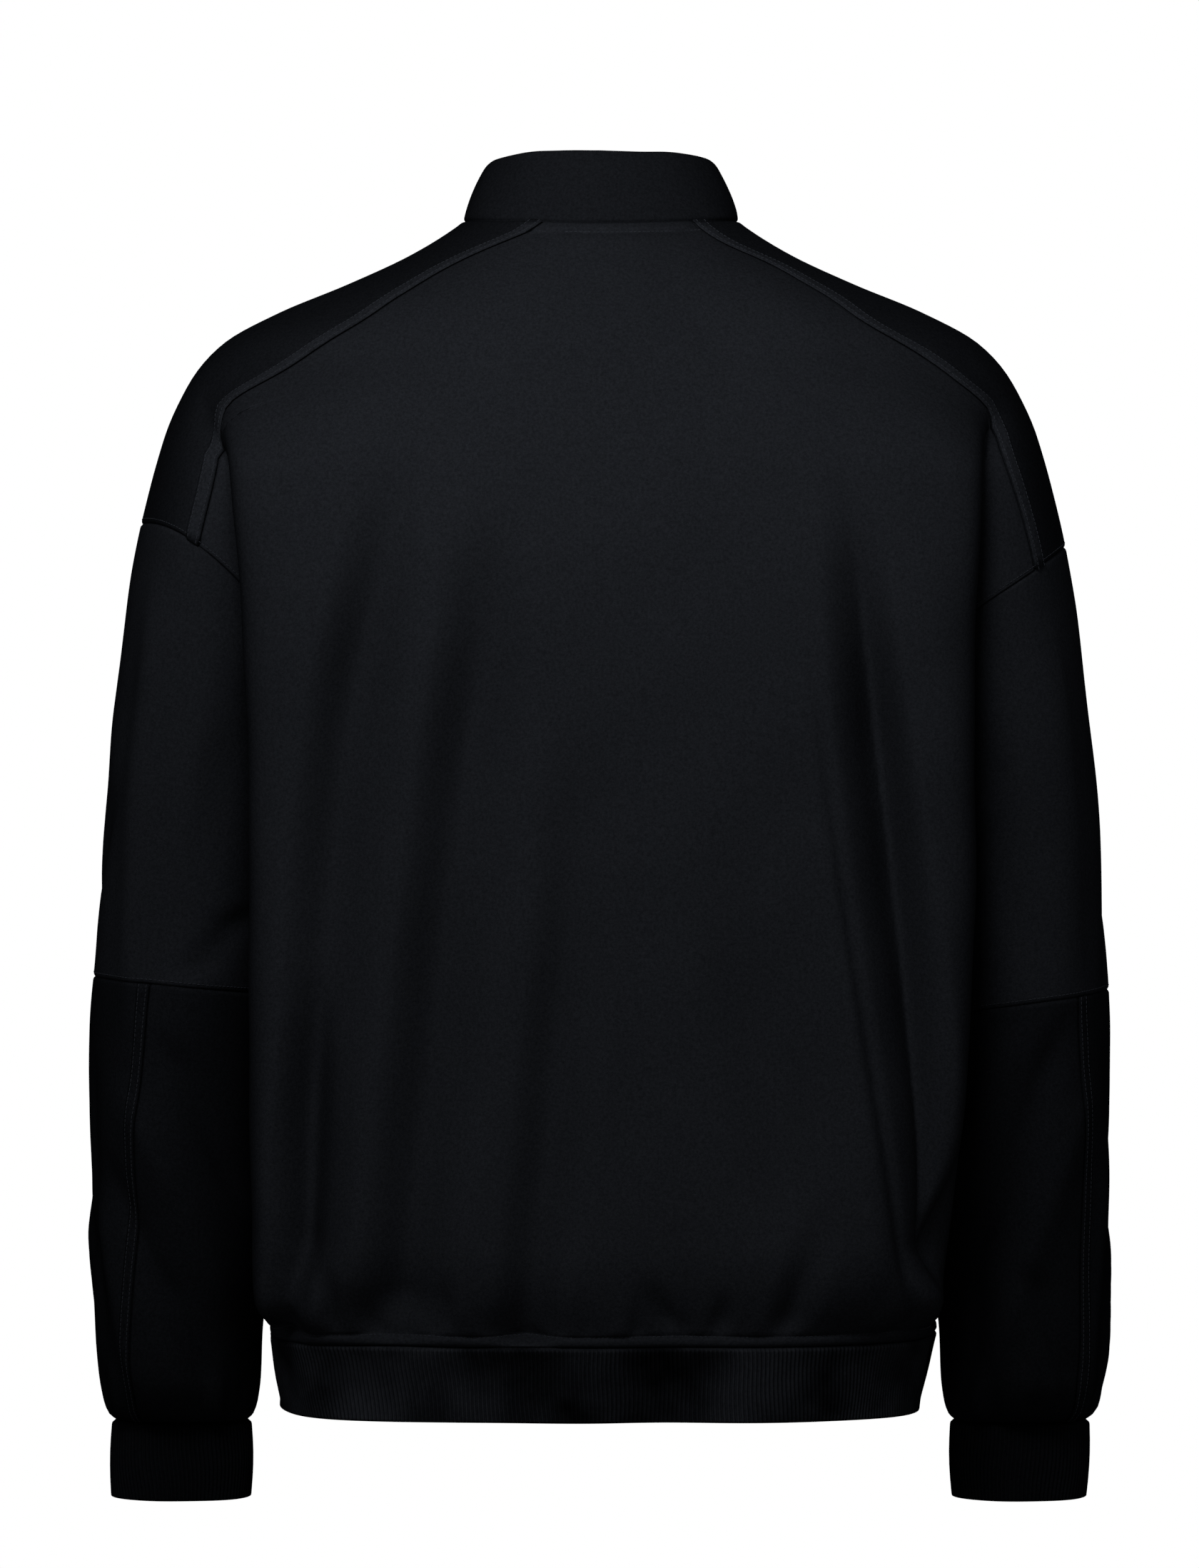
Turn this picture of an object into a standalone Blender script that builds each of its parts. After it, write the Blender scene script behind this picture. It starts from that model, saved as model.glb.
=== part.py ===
"""Track jacket with a stand collar, zip front, dropped shoulders and ribbed hem and cuffs.

The jacket is hollow and keeps the form it has when it is worn: each piece of cloth is a wall of its real
thickness. The front faces -Y, +Z is up and +X is the wearer's left. The origin is the middle of the neck
base, level with the points where the shoulders meet the neck.

Sizes are in millimetres, and a mesh is scaled to metres when it is made. Every piece is cut from one
surface. A place on it has a height z and a station t, which runs round the section at that height: 0 is the
centre back, 1 the fold where the back panel laps the sleeve, 2 the valley between body and sleeve, 3 the
outermost point, 4 the front valley, 5 the front fold and 6 the centre front. Below the underarm the body's
section runs from 0 to 2 and from 4 to 6, and each sleeve is a tube whose places have a height and a turn
round it, where 0 is outermost, positive turns are on the back and 180 is the inside of the arm.
"""

import bpy
import numpy as np

MM = 0.001
CLOTH = 2.0
RIB_CLOTH = 3.0
TAPE_CLOTH = 1.0
SEAM_GAP = 0.6
LAP_GAP = 0.3

NECK_BACK_Z = -5.0
NECK_FRONT_Z = -66.0
NECK_FRONT_POWER = 2.6
NECK_FRONT_ROUND = 1.4
SHOULDER_Z = -95.0
SLEEVE_SPLIT_Z = -125.0
UNDERARM_Z = -250.0
HEM_SEAM_Z = -637.0
HEM_Z = -680.0
CUFF_SEAM_Z = -690.0
CUFF_Z = -735.0

HEM_HALF_WIDTH = 184.5
HEM_BACK = 121.0
HEM_FRONT = 118.0
HEM_POWER = 2.6
HEM_TAPER = 0.985
BODY_POWER = 2.3

DROP_SEAM_Z = {1: -174.0, -1: -187.0}
DROP_SEAM_POWER = {1: 1.9, -1: 1.0}
ELBOW_Z = {1: -438.0, -1: -448.0}
ELBOW_SLOPE = {1: 0.09, -1: 0.13}
ELBOW_MIDDLE = 240.0

LOWER_BACK_SEAM = {1: (70.0, 57.0), -1: (53.0, 50.0)}
LOWER_FRONT_SEAM = 64.0
SLEEVE_TAPE_TURN = 7.0
SHOULDER_TAPE_WIDTH = 7.0

ZIP_HALF_GAP = 3.5
ZIP_TAPE_EDGE = 0.25
ZIP_TAPE_WIDTH = 12.0
ZIP_COLLAR_ROOM = 0.5

RIB_PITCH = 2.45
RIB_RAISE = 0.4
CUFF_TAPER = 0.985
HEM_POINTS_PER_PANEL = 9
CUFF_POINTS_PER_PANEL = 8

COLLAR_CENTRE_Y = -10.0
COLLAR_BULGE = 1.5
COLLAR_ROWS = 4

# How each piece is parted into rows and columns.
SHOULDER_ROWS = 12
UNDERARM_ROWS = 5
SIDE_SHARES = np.array([0.03, 0.08, 0.17, 0.29, 0.43, 0.57, 0.7, 0.81, 0.89, 0.94, 0.97, 0.99, 1.0])
BACK_COLUMNS = 15
FRONT_COLUMNS = 11
LAP_COLUMNS = {"back": 3, "front": 3}
ARM_COLUMNS = {"back": 3, "front": 2}
ARM_LEAST = 0.18
FOLD_COLUMN_TOP_Z = -98.0
FOLD_COLUMN_LOW_Z = -128.0
SHOULDER_BACK_COLUMNS = 5
SHOULDER_FRONT_COLUMNS = 5
UPPER_SLEEVE_ROWS = 7
LOWER_SLEEVE_SHARES = np.array([0, 0.17, 0.36, 0.55, 0.72, 0.85, 0.93, 0.975, 1.0])

# The slider and its pull tab, as distances across, along and out from the collar's outer surface.
SLIDER_SHARE = 0.8
SLIDER_LENGTH = 11.0
SLIDER_HALF_WIDTH = 3.0
SLIDER_PLATE_HALF_WIDTH = 4.6
SLIDER_BACK = -2.5
SLIDER_PLATE_BACK = 0.5
SLIDER_PLATE_FACE = 1.9
CROWN_HALF_WIDTH = 0.9
CROWN_HALF_LENGTH = 4.5
CROWN_WALL = 1.3
CROWN_TOP = 5.3
CROWN_BEND = 1.4
CROWN_ROOM_TOP = 4.1
CROWN_SINK = 0.8
PULL_AXIS = 3.0
PULL_THICKNESS = 1.2
PULL_EYE_HALF_WIDTH = 2.7
PULL_HOLE_HALF_WIDTH = 1.3
PULL_HOLE_LENGTH = 6.4
PULL_HALF_WIDTH = 3.4
PULL_FLARE = 2.0
PULL_LENGTH = 27.0

SIDES = {1: "left", -1: "right"}

BLACK = (0.0095, 0.0100, 0.0120, 1.0)
DEEP_BLACK = (0.0050, 0.0052, 0.0060, 1.0)
TAPE_BLACK = (0.0130, 0.0135, 0.0155, 1.0)
RIB_BLACK = (0.0045, 0.0047, 0.0055, 1.0)
METAL_BLACK = (0.020, 0.020, 0.022, 1.0)


def table(columns, *rows):
    """Named columns from rows written from the top of the garment down, kept from the lowest up."""
    values = np.array(rows[::-1], float).T
    return dict(zip(columns.split(), values))


# Half of the garment's width from behind, sleeves included.
OUTLINE = table(
    "z half_width",
    (10, 68),
    (0, 79),
    (-4, 84),
    (-20, 110),
    (-37, 146.5),
    (-53, 185),
    (-70, 216),
    (-86, 231.5),
    (-102, 241),
    (-119, 248.7),
    (-135, 253.8),
    (-152, 258.5),
    (-185, 266.3),
    (-217, 271.8),
    (-250, 276.3),
    (-316, 284.3),
    (-381, 289.5),
    (-447, 293.5),
    (-529, 295.8),
    (-595, 293.7),
    (-660, 290.8),
    (-677, 288.5),
    (-685, 286),
    (-690, 281.5),
    (-735, 279),
)

# How far the back and the front stand from the middle at the centre line.
CENTRE = table(
    "z back front",
    (10, 54, 46),
    (0, 61, 52),
    (-20, 76, 59),
    (-37, 87, 65),
    (-53, 96, 72),
    (-70, 104, 81),
    (-86, 110, 91),
    (-102, 116, 100),
    (-125, 122.5, 111),
    (-150, 128, 119),
    (-200, 134, 129),
    (-250, 136, 134),
    (-350, 134, 138),
    (-450, 133, 138),
    (-560, 138, 139),
    (-610, 141, 140),
    (-640, 141, 139),
)

# The rounded fold at each side of the body, which laps the sleeve.
SIDE_FOLD = table(
    "z left right front back_y front_y",
    (-95, 214, 218, 212, 68, 64),
    (-125, 211, 216, 208, 84, 82),
    (-150, 208, 215, 205, 93, 92),
    (-200, 203, 213, 203, 98, 99),
    (-250, 199.5, 211.5, 203, 95, 100),
    (-350, 196.5, 209.5, 203, 90, 101),
    (-450, 195.5, 207, 201, 85, 99),
    (-520, 195, 204, 199, 82, 96),
    (-600, 192.5, 195, 194, 80, 92),
    (-640, 190, 190, 190, 78, 88),
)

# The sleeve tube: its inner side, half its depth, its middle, how far round the arm its cloth reaches before
# it meets the body, and the room between it and the body at the fold and at the side.
SLEEVE = table(
    "z inner depth middle wrap fold_room side_room",
    (-95, 175.5, 60, 0, 78, 0, 0),
    (-125, 173, 72, 0, 92, 1.5, 0),
    (-150, 172, 79, -0.5, 104, 3, 0),
    (-180, 172.5, 83, -1, 117, 5, 0),
    (-205, 173, 84, -1.5, 129, 6.5, 0),
    (-222, 173.5, 84.3, -2, 144, 7, 0),
    (-240, 174.5, 84.3, -2.5, 162, 7, 0),
    (-250, 175, 84, -3, 180, 7, 0),
    (-258, 176, 83.8, -3.2, 180, 7, 3),
    (-275, 178, 83.3, -4, 180, 7, 6),
    (-300, 180, 82.5, -5, 180, 7, 7),
    (-400, 186, 78, -10, 180, 7, 7),
    (-500, 189.5, 72, -15, 180, 7, 7),
    (-600, 193.5, 65, -21, 180, 7, 7),
    (-640, 195.5, 61, -24, 180, 7, 7),
    (-665, 196.5, 56, -26, 180, 7, 7),
    (-680, 198.5, 47, -27, 180, 7, 7),
    (-686, 200.5, 40, -27, 180, 7, 7),
    (-690, 203, 31.5, -27, 180, 7, 7),
    (-735, 203.5, 30, -29, 180, 7, 7),
)

# How much of the way the body has closed in from its blouse to the rib seam.
GATHER = table("z share", (-560, 0), (-590, 0.03), (-610, 0.13), (-625, 0.4), (-633, 0.74), (-637, 1))

# The back edge of each shoulder panel, where its tape lies, as far as it can be seen from behind.
BACK_SEAM = {
    1: table(
        "z x",
        (-3, 29),
        (-12, 45),
        (-20, 66),
        (-30, 86),
        (-47, 114),
        (-60, 133),
        (-78, 161),
        (-92, 182),
        (-100, 197),
        (-106, 208),
        (-113, 214),
        (-128, 215),
        (-145, 217),
        (-190, 227),
        (-215, 231),
    ),
    -1: table(
        "z x",
        (-3, 50),
        (-18, 72),
        (-25, 91),
        (-33, 105),
        (-47, 127),
        (-64, 150),
        (-76, 174),
        (-89, 193),
        (-97, 203),
        (-105, 214),
        (-113, 221),
        (-126, 224),
        (-145, 230),
        (-167, 237),
        (-198, 245),
        (-215, 248),
    ),
}

# The front edge of each shoulder panel.
FRONT_SEAM = table(
    "z x",
    (-6, 77),
    (-20, 97),
    (-34, 113),
    (-50, 131),
    (-64, 147),
    (-82, 169),
    (-97, 189),
    (-107, 204),
    (-118, 214.5),
    (-135, 222),
    (-160, 227),
    (-190, 233),
    (-215, 237),
)

# The largest folds of the back, each a trough through three places, with x positive on the wearer's left.
BACK_FOLDS = table(
    "side x_top z_top x_mid z_mid x_low z_low lift reach",
    (1, 126, -130, 158, -324, 177, -570, -4.5, 18),
    (1, 70, -175, 94, -324, 118, -590, -3.5, 14),
    (1, 26, -235, 32, -400, 46, -620, -3.0, 13),
    (-1, 120, -160, 151, -324, 181, -590, -6.0, 17),
    (-1, 64, -260, 74, -420, 97, -590, -3.0, 14),
)

# The largest folds of each sleeve, which run down and round it from the middle given here.
SLEEVE_FOLDS = table(
    "side turn z slant length lift reach",
    (1, 62, -330, 0.02, 95, 3.0, 14),
    (1, 95, -560, 0.25, 70, 3.0, 12),
    (1, 45, -600, -0.30, 60, 3.0, 12),
    (-1, 70, -330, -0.03, 90, 3.0, 14),
    (-1, 90, -555, -0.25, 70, 3.0, 12),
    (-1, 40, -610, 0.30, 55, 3.0, 12),
    (1, -70, -350, 0.05, 90, 3.0, 14),
    (-1, -75, -370, -0.05, 90, 3.0, 14),
    (1, -60, -580, 0.25, 70, 3.0, 12),
    (-1, -65, -570, -0.25, 70, 3.0, 12),
)

# The rise of the collar from the neck seam, by the turn round the neck from the centre back.
COLLAR = table(
    "turn inward forward rise",
    (180, 5, -9, 46),
    (168, 5, -8, 43),
    (150, 6, -4, 39),
    (134, 8, 0, 37),
    (118, 9, 5, 34),
    (104, 10, 9, 31),
    (88, 11, 11, 29),
    (60, 12, 13, 37),
    (30, 11, 12, 42),
    (0, 9, 12, 43),
)


def eased(at, places, values):
    """A smooth curve through the values that never passes them (monotone cubic)."""
    places = np.asarray(places, float)
    values = np.asarray(values, float)
    step = np.diff(places)
    slope = np.diff(values) / step
    tangent = np.zeros(len(values))
    same_way = slope[1:] * slope[:-1] > 0
    sum_of_two = np.where(same_way, slope[1:] + slope[:-1], 1.0)
    tangent[1:-1] = np.where(same_way, 2 * slope[1:] * slope[:-1] / sum_of_two, 0.0)
    tangent[0] = slope[0]
    tangent[-1] = slope[-1]
    at = np.clip(at, places[0], places[-1])
    k = np.clip(np.searchsorted(places, at, "right") - 1, 0, len(step) - 1)
    s = (at - places[k]) / step[k]
    ends = (1 + 2 * s) * (1 - s) ** 2 * values[k] + s * s * (3 - 2 * s) * values[k + 1]
    return ends + step[k] * (s * (1 - s) ** 2 * tangent[k] + s * s * (s - 1) * tangent[k + 1])


def read(sizes, column, z):
    return eased(z, sizes["z"], sizes[column])


def smooth(x):
    x = np.clip(x, 0.0, 1.0)
    return x * x * (3 - 2 * x)


def unit_oval(turn, power):
    """A point of a unit superellipse, as (across, along), for a turn in degrees from the centre line."""
    across = np.sin(np.radians(turn))
    along = np.cos(np.radians(turn))
    reach = (np.abs(across) ** power + np.abs(along) ** power) ** (-1 / power)
    return reach * across, reach * along


def oval_turn(station):
    return eased(station, (0, 1, 2, 3), (0, 56, 67, 90))


def body_plan(z, station, front, side):
    """The section of body and sleeve together, as (across, along) from the centre towards its face."""
    face = np.where(front, read(CENTRE, "front", z), read(CENTRE, "back", z))
    width = read(OUTLINE, "half_width", z)
    across, along = unit_oval(oval_turn(station), eased(z, (-100, -50, 0), (2.4, 2.2, 2.0)))
    oval = np.array([width * across, face * along])

    lead = np.where(front, -1.0, 1.0) * read(SLEEVE, "middle", z)
    inner = read(SLEEVE, "inner", z)
    middle = (width + inner) / 2
    reach = (width - inner) / 2
    depth = read(SLEEVE, "depth", z)
    wrap = np.radians(read(SLEEVE, "wrap", z))
    room = read(SLEEVE, "fold_room", z)
    fold_x = np.where(front, read(SIDE_FOLD, "front", z), read(SIDE_FOLD, SIDES[side], z))
    fold_y = np.where(front, read(SIDE_FOLD, "front_y", z), read(SIDE_FOLD, "back_y", z))

    across, along = unit_oval(90 * np.clip(station, 0, 1), BODY_POWER)
    panel = np.array([fold_x * across, fold_y + (face - fold_y) * along])

    s = np.clip(station - 1, 0, 1)
    clear = room * (1 - s**2) + read(SLEEVE, "side_room", z) * s**2
    start = np.arccos(np.clip((fold_x - middle) / (reach + room), -1, 1))
    turn = start + (wrap - start) * s**1.5
    rise = fold_y - lead - (depth + room) * np.sin(start)
    lap = np.array(
        [
            middle + (reach + clear) * np.cos(turn),
            lead + (depth + clear) * np.sin(turn) + rise * (1 - s) ** 2,
        ]
    )

    turn = wrap * (3 - station)
    arm = np.array([middle + reach * np.cos(turn), lead + depth * np.sin(turn)])

    split = np.where(station <= 1, panel, np.where(station <= 2, lap, arm))
    share = smooth((SHOULDER_Z - z) / (SHOULDER_Z - SLEEVE_SPLIT_Z))
    worn = oval + (split - oval) * share

    hem_face = np.where(front, HEM_FRONT, HEM_BACK)
    across, along = unit_oval(eased(station, (0, 1, 2), (0, 60, 90)), HEM_POWER)
    hem = np.array([HEM_HALF_WIDTH * across, hem_face * along])
    return worn + (hem - worn) * np.where(station <= 2, read(GATHER, "share", z), 0.0)


def body_form(z, t, side):
    """The smooth outer surface of body and shoulder, without folds, in millimetres."""
    z, t = np.broadcast_arrays(np.asarray(z, float), np.asarray(t, float))
    front = t > 3
    across, along = body_plan(z, np.where(front, 6 - t, t), front, side)
    return np.stack([side * across, np.where(front, -along, along), z], -1)


def sleeve_form(z, turn, side):
    """The smooth outer surface of a sleeve, without folds. Turn is in degrees from the outermost line."""
    z, turn = np.broadcast_arrays(np.asarray(z, float), np.asarray(turn, float))
    outer = read(OUTLINE, "half_width", z)
    inner = read(SLEEVE, "inner", z)
    across = (outer + inner) / 2 + (outer - inner) / 2 * np.cos(np.radians(turn))
    along = read(SLEEVE, "middle", z) + read(SLEEVE, "depth", z) * np.sin(np.radians(turn))
    return np.stack([side * across, along, z], -1)


def outward(form, z, place, side, step=0.02):
    """Unit normals of a form, pointing out of the garment."""
    z = np.asarray(z, float)
    down = form(z - 0.5, place, side) - form(z + 0.5, place, side)
    round_it = form(z, place + step, side) - form(z, place - step, side)
    normal = np.cross(round_it, down) * side
    return normal / np.maximum(np.linalg.norm(normal, axis=-1, keepdims=True), 1e-9)


def back_fold_lift(z, t, side):
    """How far the folds of the back stand out, fading before the edges of the panel."""
    x = np.abs(body_form(z, t, side)[..., 0])
    lift = np.zeros(np.shape(x))
    for row in zip(*BACK_FOLDS.values()):
        fold = dict(zip(BACK_FOLDS, row))
        if fold["side"] != side:
            continue
        heights = (fold["z_low"], fold["z_mid"], fold["z_top"])
        line = eased(z, heights, (fold["x_low"], fold["x_mid"], fold["x_top"]))
        ends = smooth((fold["z_top"] - z) / 60) * smooth((z - fold["z_low"]) / 40)
        lift = lift + fold["lift"] * ends * np.exp(-(((x - line) / fold["reach"]) ** 2))
    return lift * smooth((1.15 - t) / 0.3)


def sleeve_fold_lift(z, turn, side):
    """How far the folds of a sleeve stand out, fading before its upper seam and towards the body."""
    lift = np.zeros(np.shape(z + turn))
    for row in zip(*SLEEVE_FOLDS.values()):
        fold = dict(zip(SLEEVE_FOLDS, row))
        if fold["side"] != side:
            continue
        along = (z - fold["z"]) / fold["length"]
        line = fold["turn"] + fold["slant"] * (z - fold["z"])
        across = (turn - line) / fold["reach"]
        lift = lift + fold["lift"] * np.exp(-(across**2) - 2 * along**2)
    seam_fade = smooth((drop_seam_z(turn, side) - z) / 40)
    cuff_fade = smooth((z - CUFF_SEAM_Z) / 25)
    return lift * seam_fade * cuff_fade * smooth((150 - np.abs(turn)) / 25)


def body(z, t, side):
    lift = back_fold_lift(z, t, side)[..., None]
    return body_form(z, t, side) + outward(body_form, z, t, side) * lift


def sleeve(z, turn, side):
    lift = sleeve_fold_lift(z, turn, side)[..., None]
    return sleeve_form(z, turn, side) + outward(sleeve_form, z, turn, side, 1.0) * lift


def drop_seam_z(turn, side):
    """Height of the dropped shoulder seam, from the outermost line to the underarm."""
    share = ((1 - np.cos(np.radians(turn))) / 2) ** DROP_SEAM_POWER[side]
    return DROP_SEAM_Z[side] + (UNDERARM_Z - DROP_SEAM_Z[side]) * share


def elbow_z(turn, side):
    """Height of the seam between upper and lower sleeve, a plane cut through the tube."""
    across = sleeve_form(ELBOW_Z[side], turn, 1)[..., 0]
    return ELBOW_Z[side] + ELBOW_SLOPE[side] * (across - ELBOW_MIDDLE)


def neck_z(t):
    """Height of the neck seam at a station."""
    turn = oval_turn(np.where(t > 3, 6 - t, t)) / 90
    back = NECK_BACK_Z * (1 - turn) ** 2
    front = NECK_FRONT_Z * (1 - turn**NECK_FRONT_ROUND) ** NECK_FRONT_POWER
    return np.where(t > 3, front, back)


def station_at(z, x, side, half):
    """The outermost station of one half of a section whose distance from the centre line is x."""
    t = np.linspace(3, 0, 601) if half == "back" else np.linspace(3, 6, 601)
    across = np.abs(body_form(z, t, side)[..., 0])
    inside = np.flatnonzero(across < x)
    first = inside[0] if len(inside) else len(t) - 1
    if first == 0:
        return t[0]
    share = (across[first - 1] - x) / max(across[first - 1] - across[first], 1e-9)
    return t[first - 1] + (t[first] - t[first - 1]) * share


def seam_curve(seam, side, half):
    """Heights and stations along an edge of a shoulder panel, from the neck to the drop seam."""
    heights = np.arange(2.0, -216.0, -2.0)
    stations = np.array([station_at(z, read(seam, "x", z), side, half) for z in heights])
    padded = np.pad(stations, 4, "edge")
    stations = np.convolve(padded, np.hanning(11)[1:-1] / np.hanning(11).sum(), "valid")
    top = np.flatnonzero(heights < neck_z(stations))[0]
    wrap = read(SLEEVE, "wrap", heights)
    past = np.flatnonzero(heights < drop_seam_z((3 - stations) * wrap, side))
    low = [k for k in past if heights[k] < -150][0]

    def crossing(k, level):
        above = heights[k - 1] - level[k - 1]
        below = heights[k] - level[k]
        share = above / (above - below)
        return heights[k - 1] + (heights[k] - heights[k - 1]) * share

    first = crossing(top, neck_z(stations))
    last = crossing(low, drop_seam_z((3 - stations) * wrap, side))
    z = np.linspace(first, last, 120)
    return z, np.interp(-z, -heights, stations)


def even(points, count, ends=(0.0, 1.0)):
    """Places 0 to 1 along a line of points that part it evenly by length, between two shares of it."""
    length = np.concatenate([[0], np.cumsum(np.linalg.norm(np.diff(points, axis=0), axis=1))])
    marks = np.linspace(ends[0], ends[1], count) * length[-1]
    return np.interp(marks, length, np.linspace(0, 1, len(points)))


def along(values, places):
    return np.interp(places, np.linspace(0, 1, len(values)), values)


def inset(grid, rows=(True, True), columns=(True, True), gap=SEAM_GAP / 2):
    """Draws the chosen edges of a grid of points in by half a seam's gap."""
    grid = grid.copy()

    def step(edge, inner):
        way = inner - edge
        return edge + gap * way / np.maximum(np.linalg.norm(way, axis=-1, keepdims=True), 1e-9)

    if rows[0]:
        grid[0] = step(grid[0], grid[1])
    if rows[1]:
        grid[-1] = step(grid[-1], grid[-2])
    if columns[0]:
        grid[:, 0] = step(grid[:, 0], grid[:, 1])
    if columns[1]:
        grid[:, -1] = step(grid[:, -1], grid[:, -2])
    return grid


def make_piece(name, points, faces, colour, roughness=0.6, metallic=0.0):
    mesh = bpy.data.meshes.new(name)
    mesh.from_pydata((np.asarray(points) * MM).tolist(), [], faces)
    mesh.validate()
    mesh.update()
    mesh.shade_smooth()
    material = bpy.data.materials.new(name)
    material.use_nodes = True
    shader = material.node_tree.nodes["Principled BSDF"]
    shader.inputs["Base Color"].default_value = colour
    shader.inputs["Roughness"].default_value = roughness
    shader.inputs["Metallic"].default_value = metallic
    mesh.materials.append(material)
    piece = bpy.data.objects.new(name, mesh)
    bpy.context.scene.collection.objects.link(piece)
    return piece


def volume(points, faces):
    total = 0.0
    for face in faces:
        a, b, c = (points[k] for k in face[:3])
        total += float(np.dot(a, np.cross(b, c)))
        if len(face) == 4:
            d = points[face[3]]
            total += float(np.dot(a, np.cross(c, d)))
    return total


def facing_out(points, faces):
    if volume(points, faces) < 0:
        return [face[::-1] for face in faces]
    return faces


def wall(name, outer, inner, colour, tube=False, roughness=0.6):
    """A closed wall between two grids of points of the same size. A tube joins its last column to its first."""
    rows, columns = outer.shape[:2]
    points = np.concatenate([outer.reshape(-1, 3), inner.reshape(-1, 3)])
    other = rows * columns
    spans = columns if tube else columns - 1
    faces = []
    for r in range(rows - 1):
        for c in range(spans):
            a = r * columns + c
            b = r * columns + (c + 1) % columns
            faces.append((a, a + columns, b))
            faces.append((b, a + columns, b + columns))
            faces.append((other + a, other + b, other + a + columns))
            faces.append((other + b, other + b + columns, other + a + columns))
    for r in (0, rows - 1):
        for c in range(spans):
            a = r * columns + c
            b = r * columns + (c + 1) % columns
            faces.append((a, b, other + b, other + a) if r == 0 else (b, a, other + a, other + b))
    if not tube:
        for c in (0, columns - 1):
            for r in range(rows - 1):
                a = r * columns + c
                b = a + columns
                faces.append((b, a, other + a, other + b) if c == 0 else (a, b, other + b, other + a))
    return make_piece(name, points, facing_out(points, faces), colour, roughness)


def underarm_edge(corner, side):
    """The drop seam from a shoulder panel's corner to the underarm, as rows of height and station."""
    first = (3 - corner[1]) * float(read(SLEEVE, "wrap", corner[0]))
    turns = np.linspace(first, 180, 60)
    heights = drop_seam_z(turns, side)
    places = even(sleeve_form(heights, turns, side), UNDERARM_ROWS + 1)[1:]
    turns = along(turns, places)
    heights = drop_seam_z(turns, side)
    return np.stack([heights, 3 - turns / read(SLEEVE, "wrap", heights)], 1)


def panel_edges(side, half):
    """The outer edge of half a body panel in three stretches: shoulder panel, drop seam and side seam."""
    seam = BACK_SEAM[side] if half == "back" else FRONT_SEAM
    z, t = seam_curve(seam, side, half)
    places = even(body_form(z, t, side), SHOULDER_ROWS + 1)
    shoulder = np.stack([along(z, places), along(t, places)], 1)
    corner = shoulder[-1] if half == "back" else (shoulder[-1][0], 6 - shoulder[-1][1])
    armhole = underarm_edge(corner, side)
    heights = UNDERARM_Z + (HEM_SEAM_Z - UNDERARM_Z) * SIDE_SHARES
    beside = np.stack([heights, np.full(len(heights), 2.0)], 1)
    if half == "front":
        armhole[:, 1] = 6 - armhole[:, 1]
        beside[:, 1] = 6 - beside[:, 1]
    return shoulder, armhole, beside


def row_stations(z, last, side, half, columns):
    """Stations of a panel's columns at one height, from the centre line to the panel's edge.

    They part the section evenly near the neck. Below the shoulder one column keeps to the side fold and one
    to the valley, where the panel goes past it.
    """
    first = 0.0 if half == "back" else station_at(z, ZIP_HALF_GAP, side, "front")
    fold = 1.0 if half == "back" else 5.0
    if half == "back":
        valley = min(2.0, last - ARM_LEAST)
    else:
        valley = max(4.0, last + ARM_LEAST)

    def spread(end, count):
        t = np.linspace(first, end, 160)
        points = body_form(z, t, side)
        if half == "back":
            return along(t, even(points, count))
        length = np.linalg.norm(np.diff(points, axis=0), axis=1).sum()
        margin = (ZIP_TAPE_WIDTH - ZIP_HALF_GAP) / length
        return np.concatenate([t[:1], along(t, even(points, count - 1, (margin, 1.0)))])

    plain = spread(last, columns)
    lap, arm = LAP_COLUMNS[half], ARM_COLUMNS[half]
    folded = np.concatenate(
        [
            spread(fold, columns - lap - arm),
            np.linspace(fold, valley, lap + 1)[1:],
            np.linspace(valley, last, arm + 1)[1:],
        ]
    )
    share = smooth((FOLD_COLUMN_TOP_Z - z) / (FOLD_COLUMN_TOP_Z - FOLD_COLUMN_LOW_Z))
    return plain + (folded - plain) * share


def half_panel(side, half, columns):
    """Heights and stations of half a body panel, in rows from the neck down and columns from the centre."""
    edges = np.concatenate(panel_edges(side, half))
    edge_z = edges[:, 0]
    fine_z = np.linspace(edge_z[0], edge_z[-1], 240)
    fine_t = np.interp(-fine_z, -edge_z, edges[:, 1])
    stations = [row_stations(z, t, side, half, columns) for z, t in zip(fine_z, fine_t)]
    stations = np.array(stations)

    def at_height(z):
        return np.stack([np.interp(-z[..., c], -fine_z, stations[:, c]) for c in range(columns)], -1)

    top = np.full(columns, edge_z[0])
    for _ in range(12):
        top = neck_z(at_height(top))
    upper = SHOULDER_ROWS + UNDERARM_ROWS
    rows = np.arange(len(edge_z))
    edge_share = (edge_z - edge_z[0]) / (UNDERARM_Z - edge_z[0])
    centre_share = np.where(rows <= upper, rows / upper, edge_share)
    blend = smooth(np.linspace(0, 1, columns))
    share = centre_share[:, None] + (edge_share - centre_share)[:, None] * blend
    z = np.where(rows[:, None] <= upper, top + (UNDERARM_Z - top) * share, edge_z[:, None])
    t = at_height(z)
    z[0] = top
    t[:, -1] = edges[:, 1]
    z[:, -1] = edge_z
    return z, t


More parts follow.
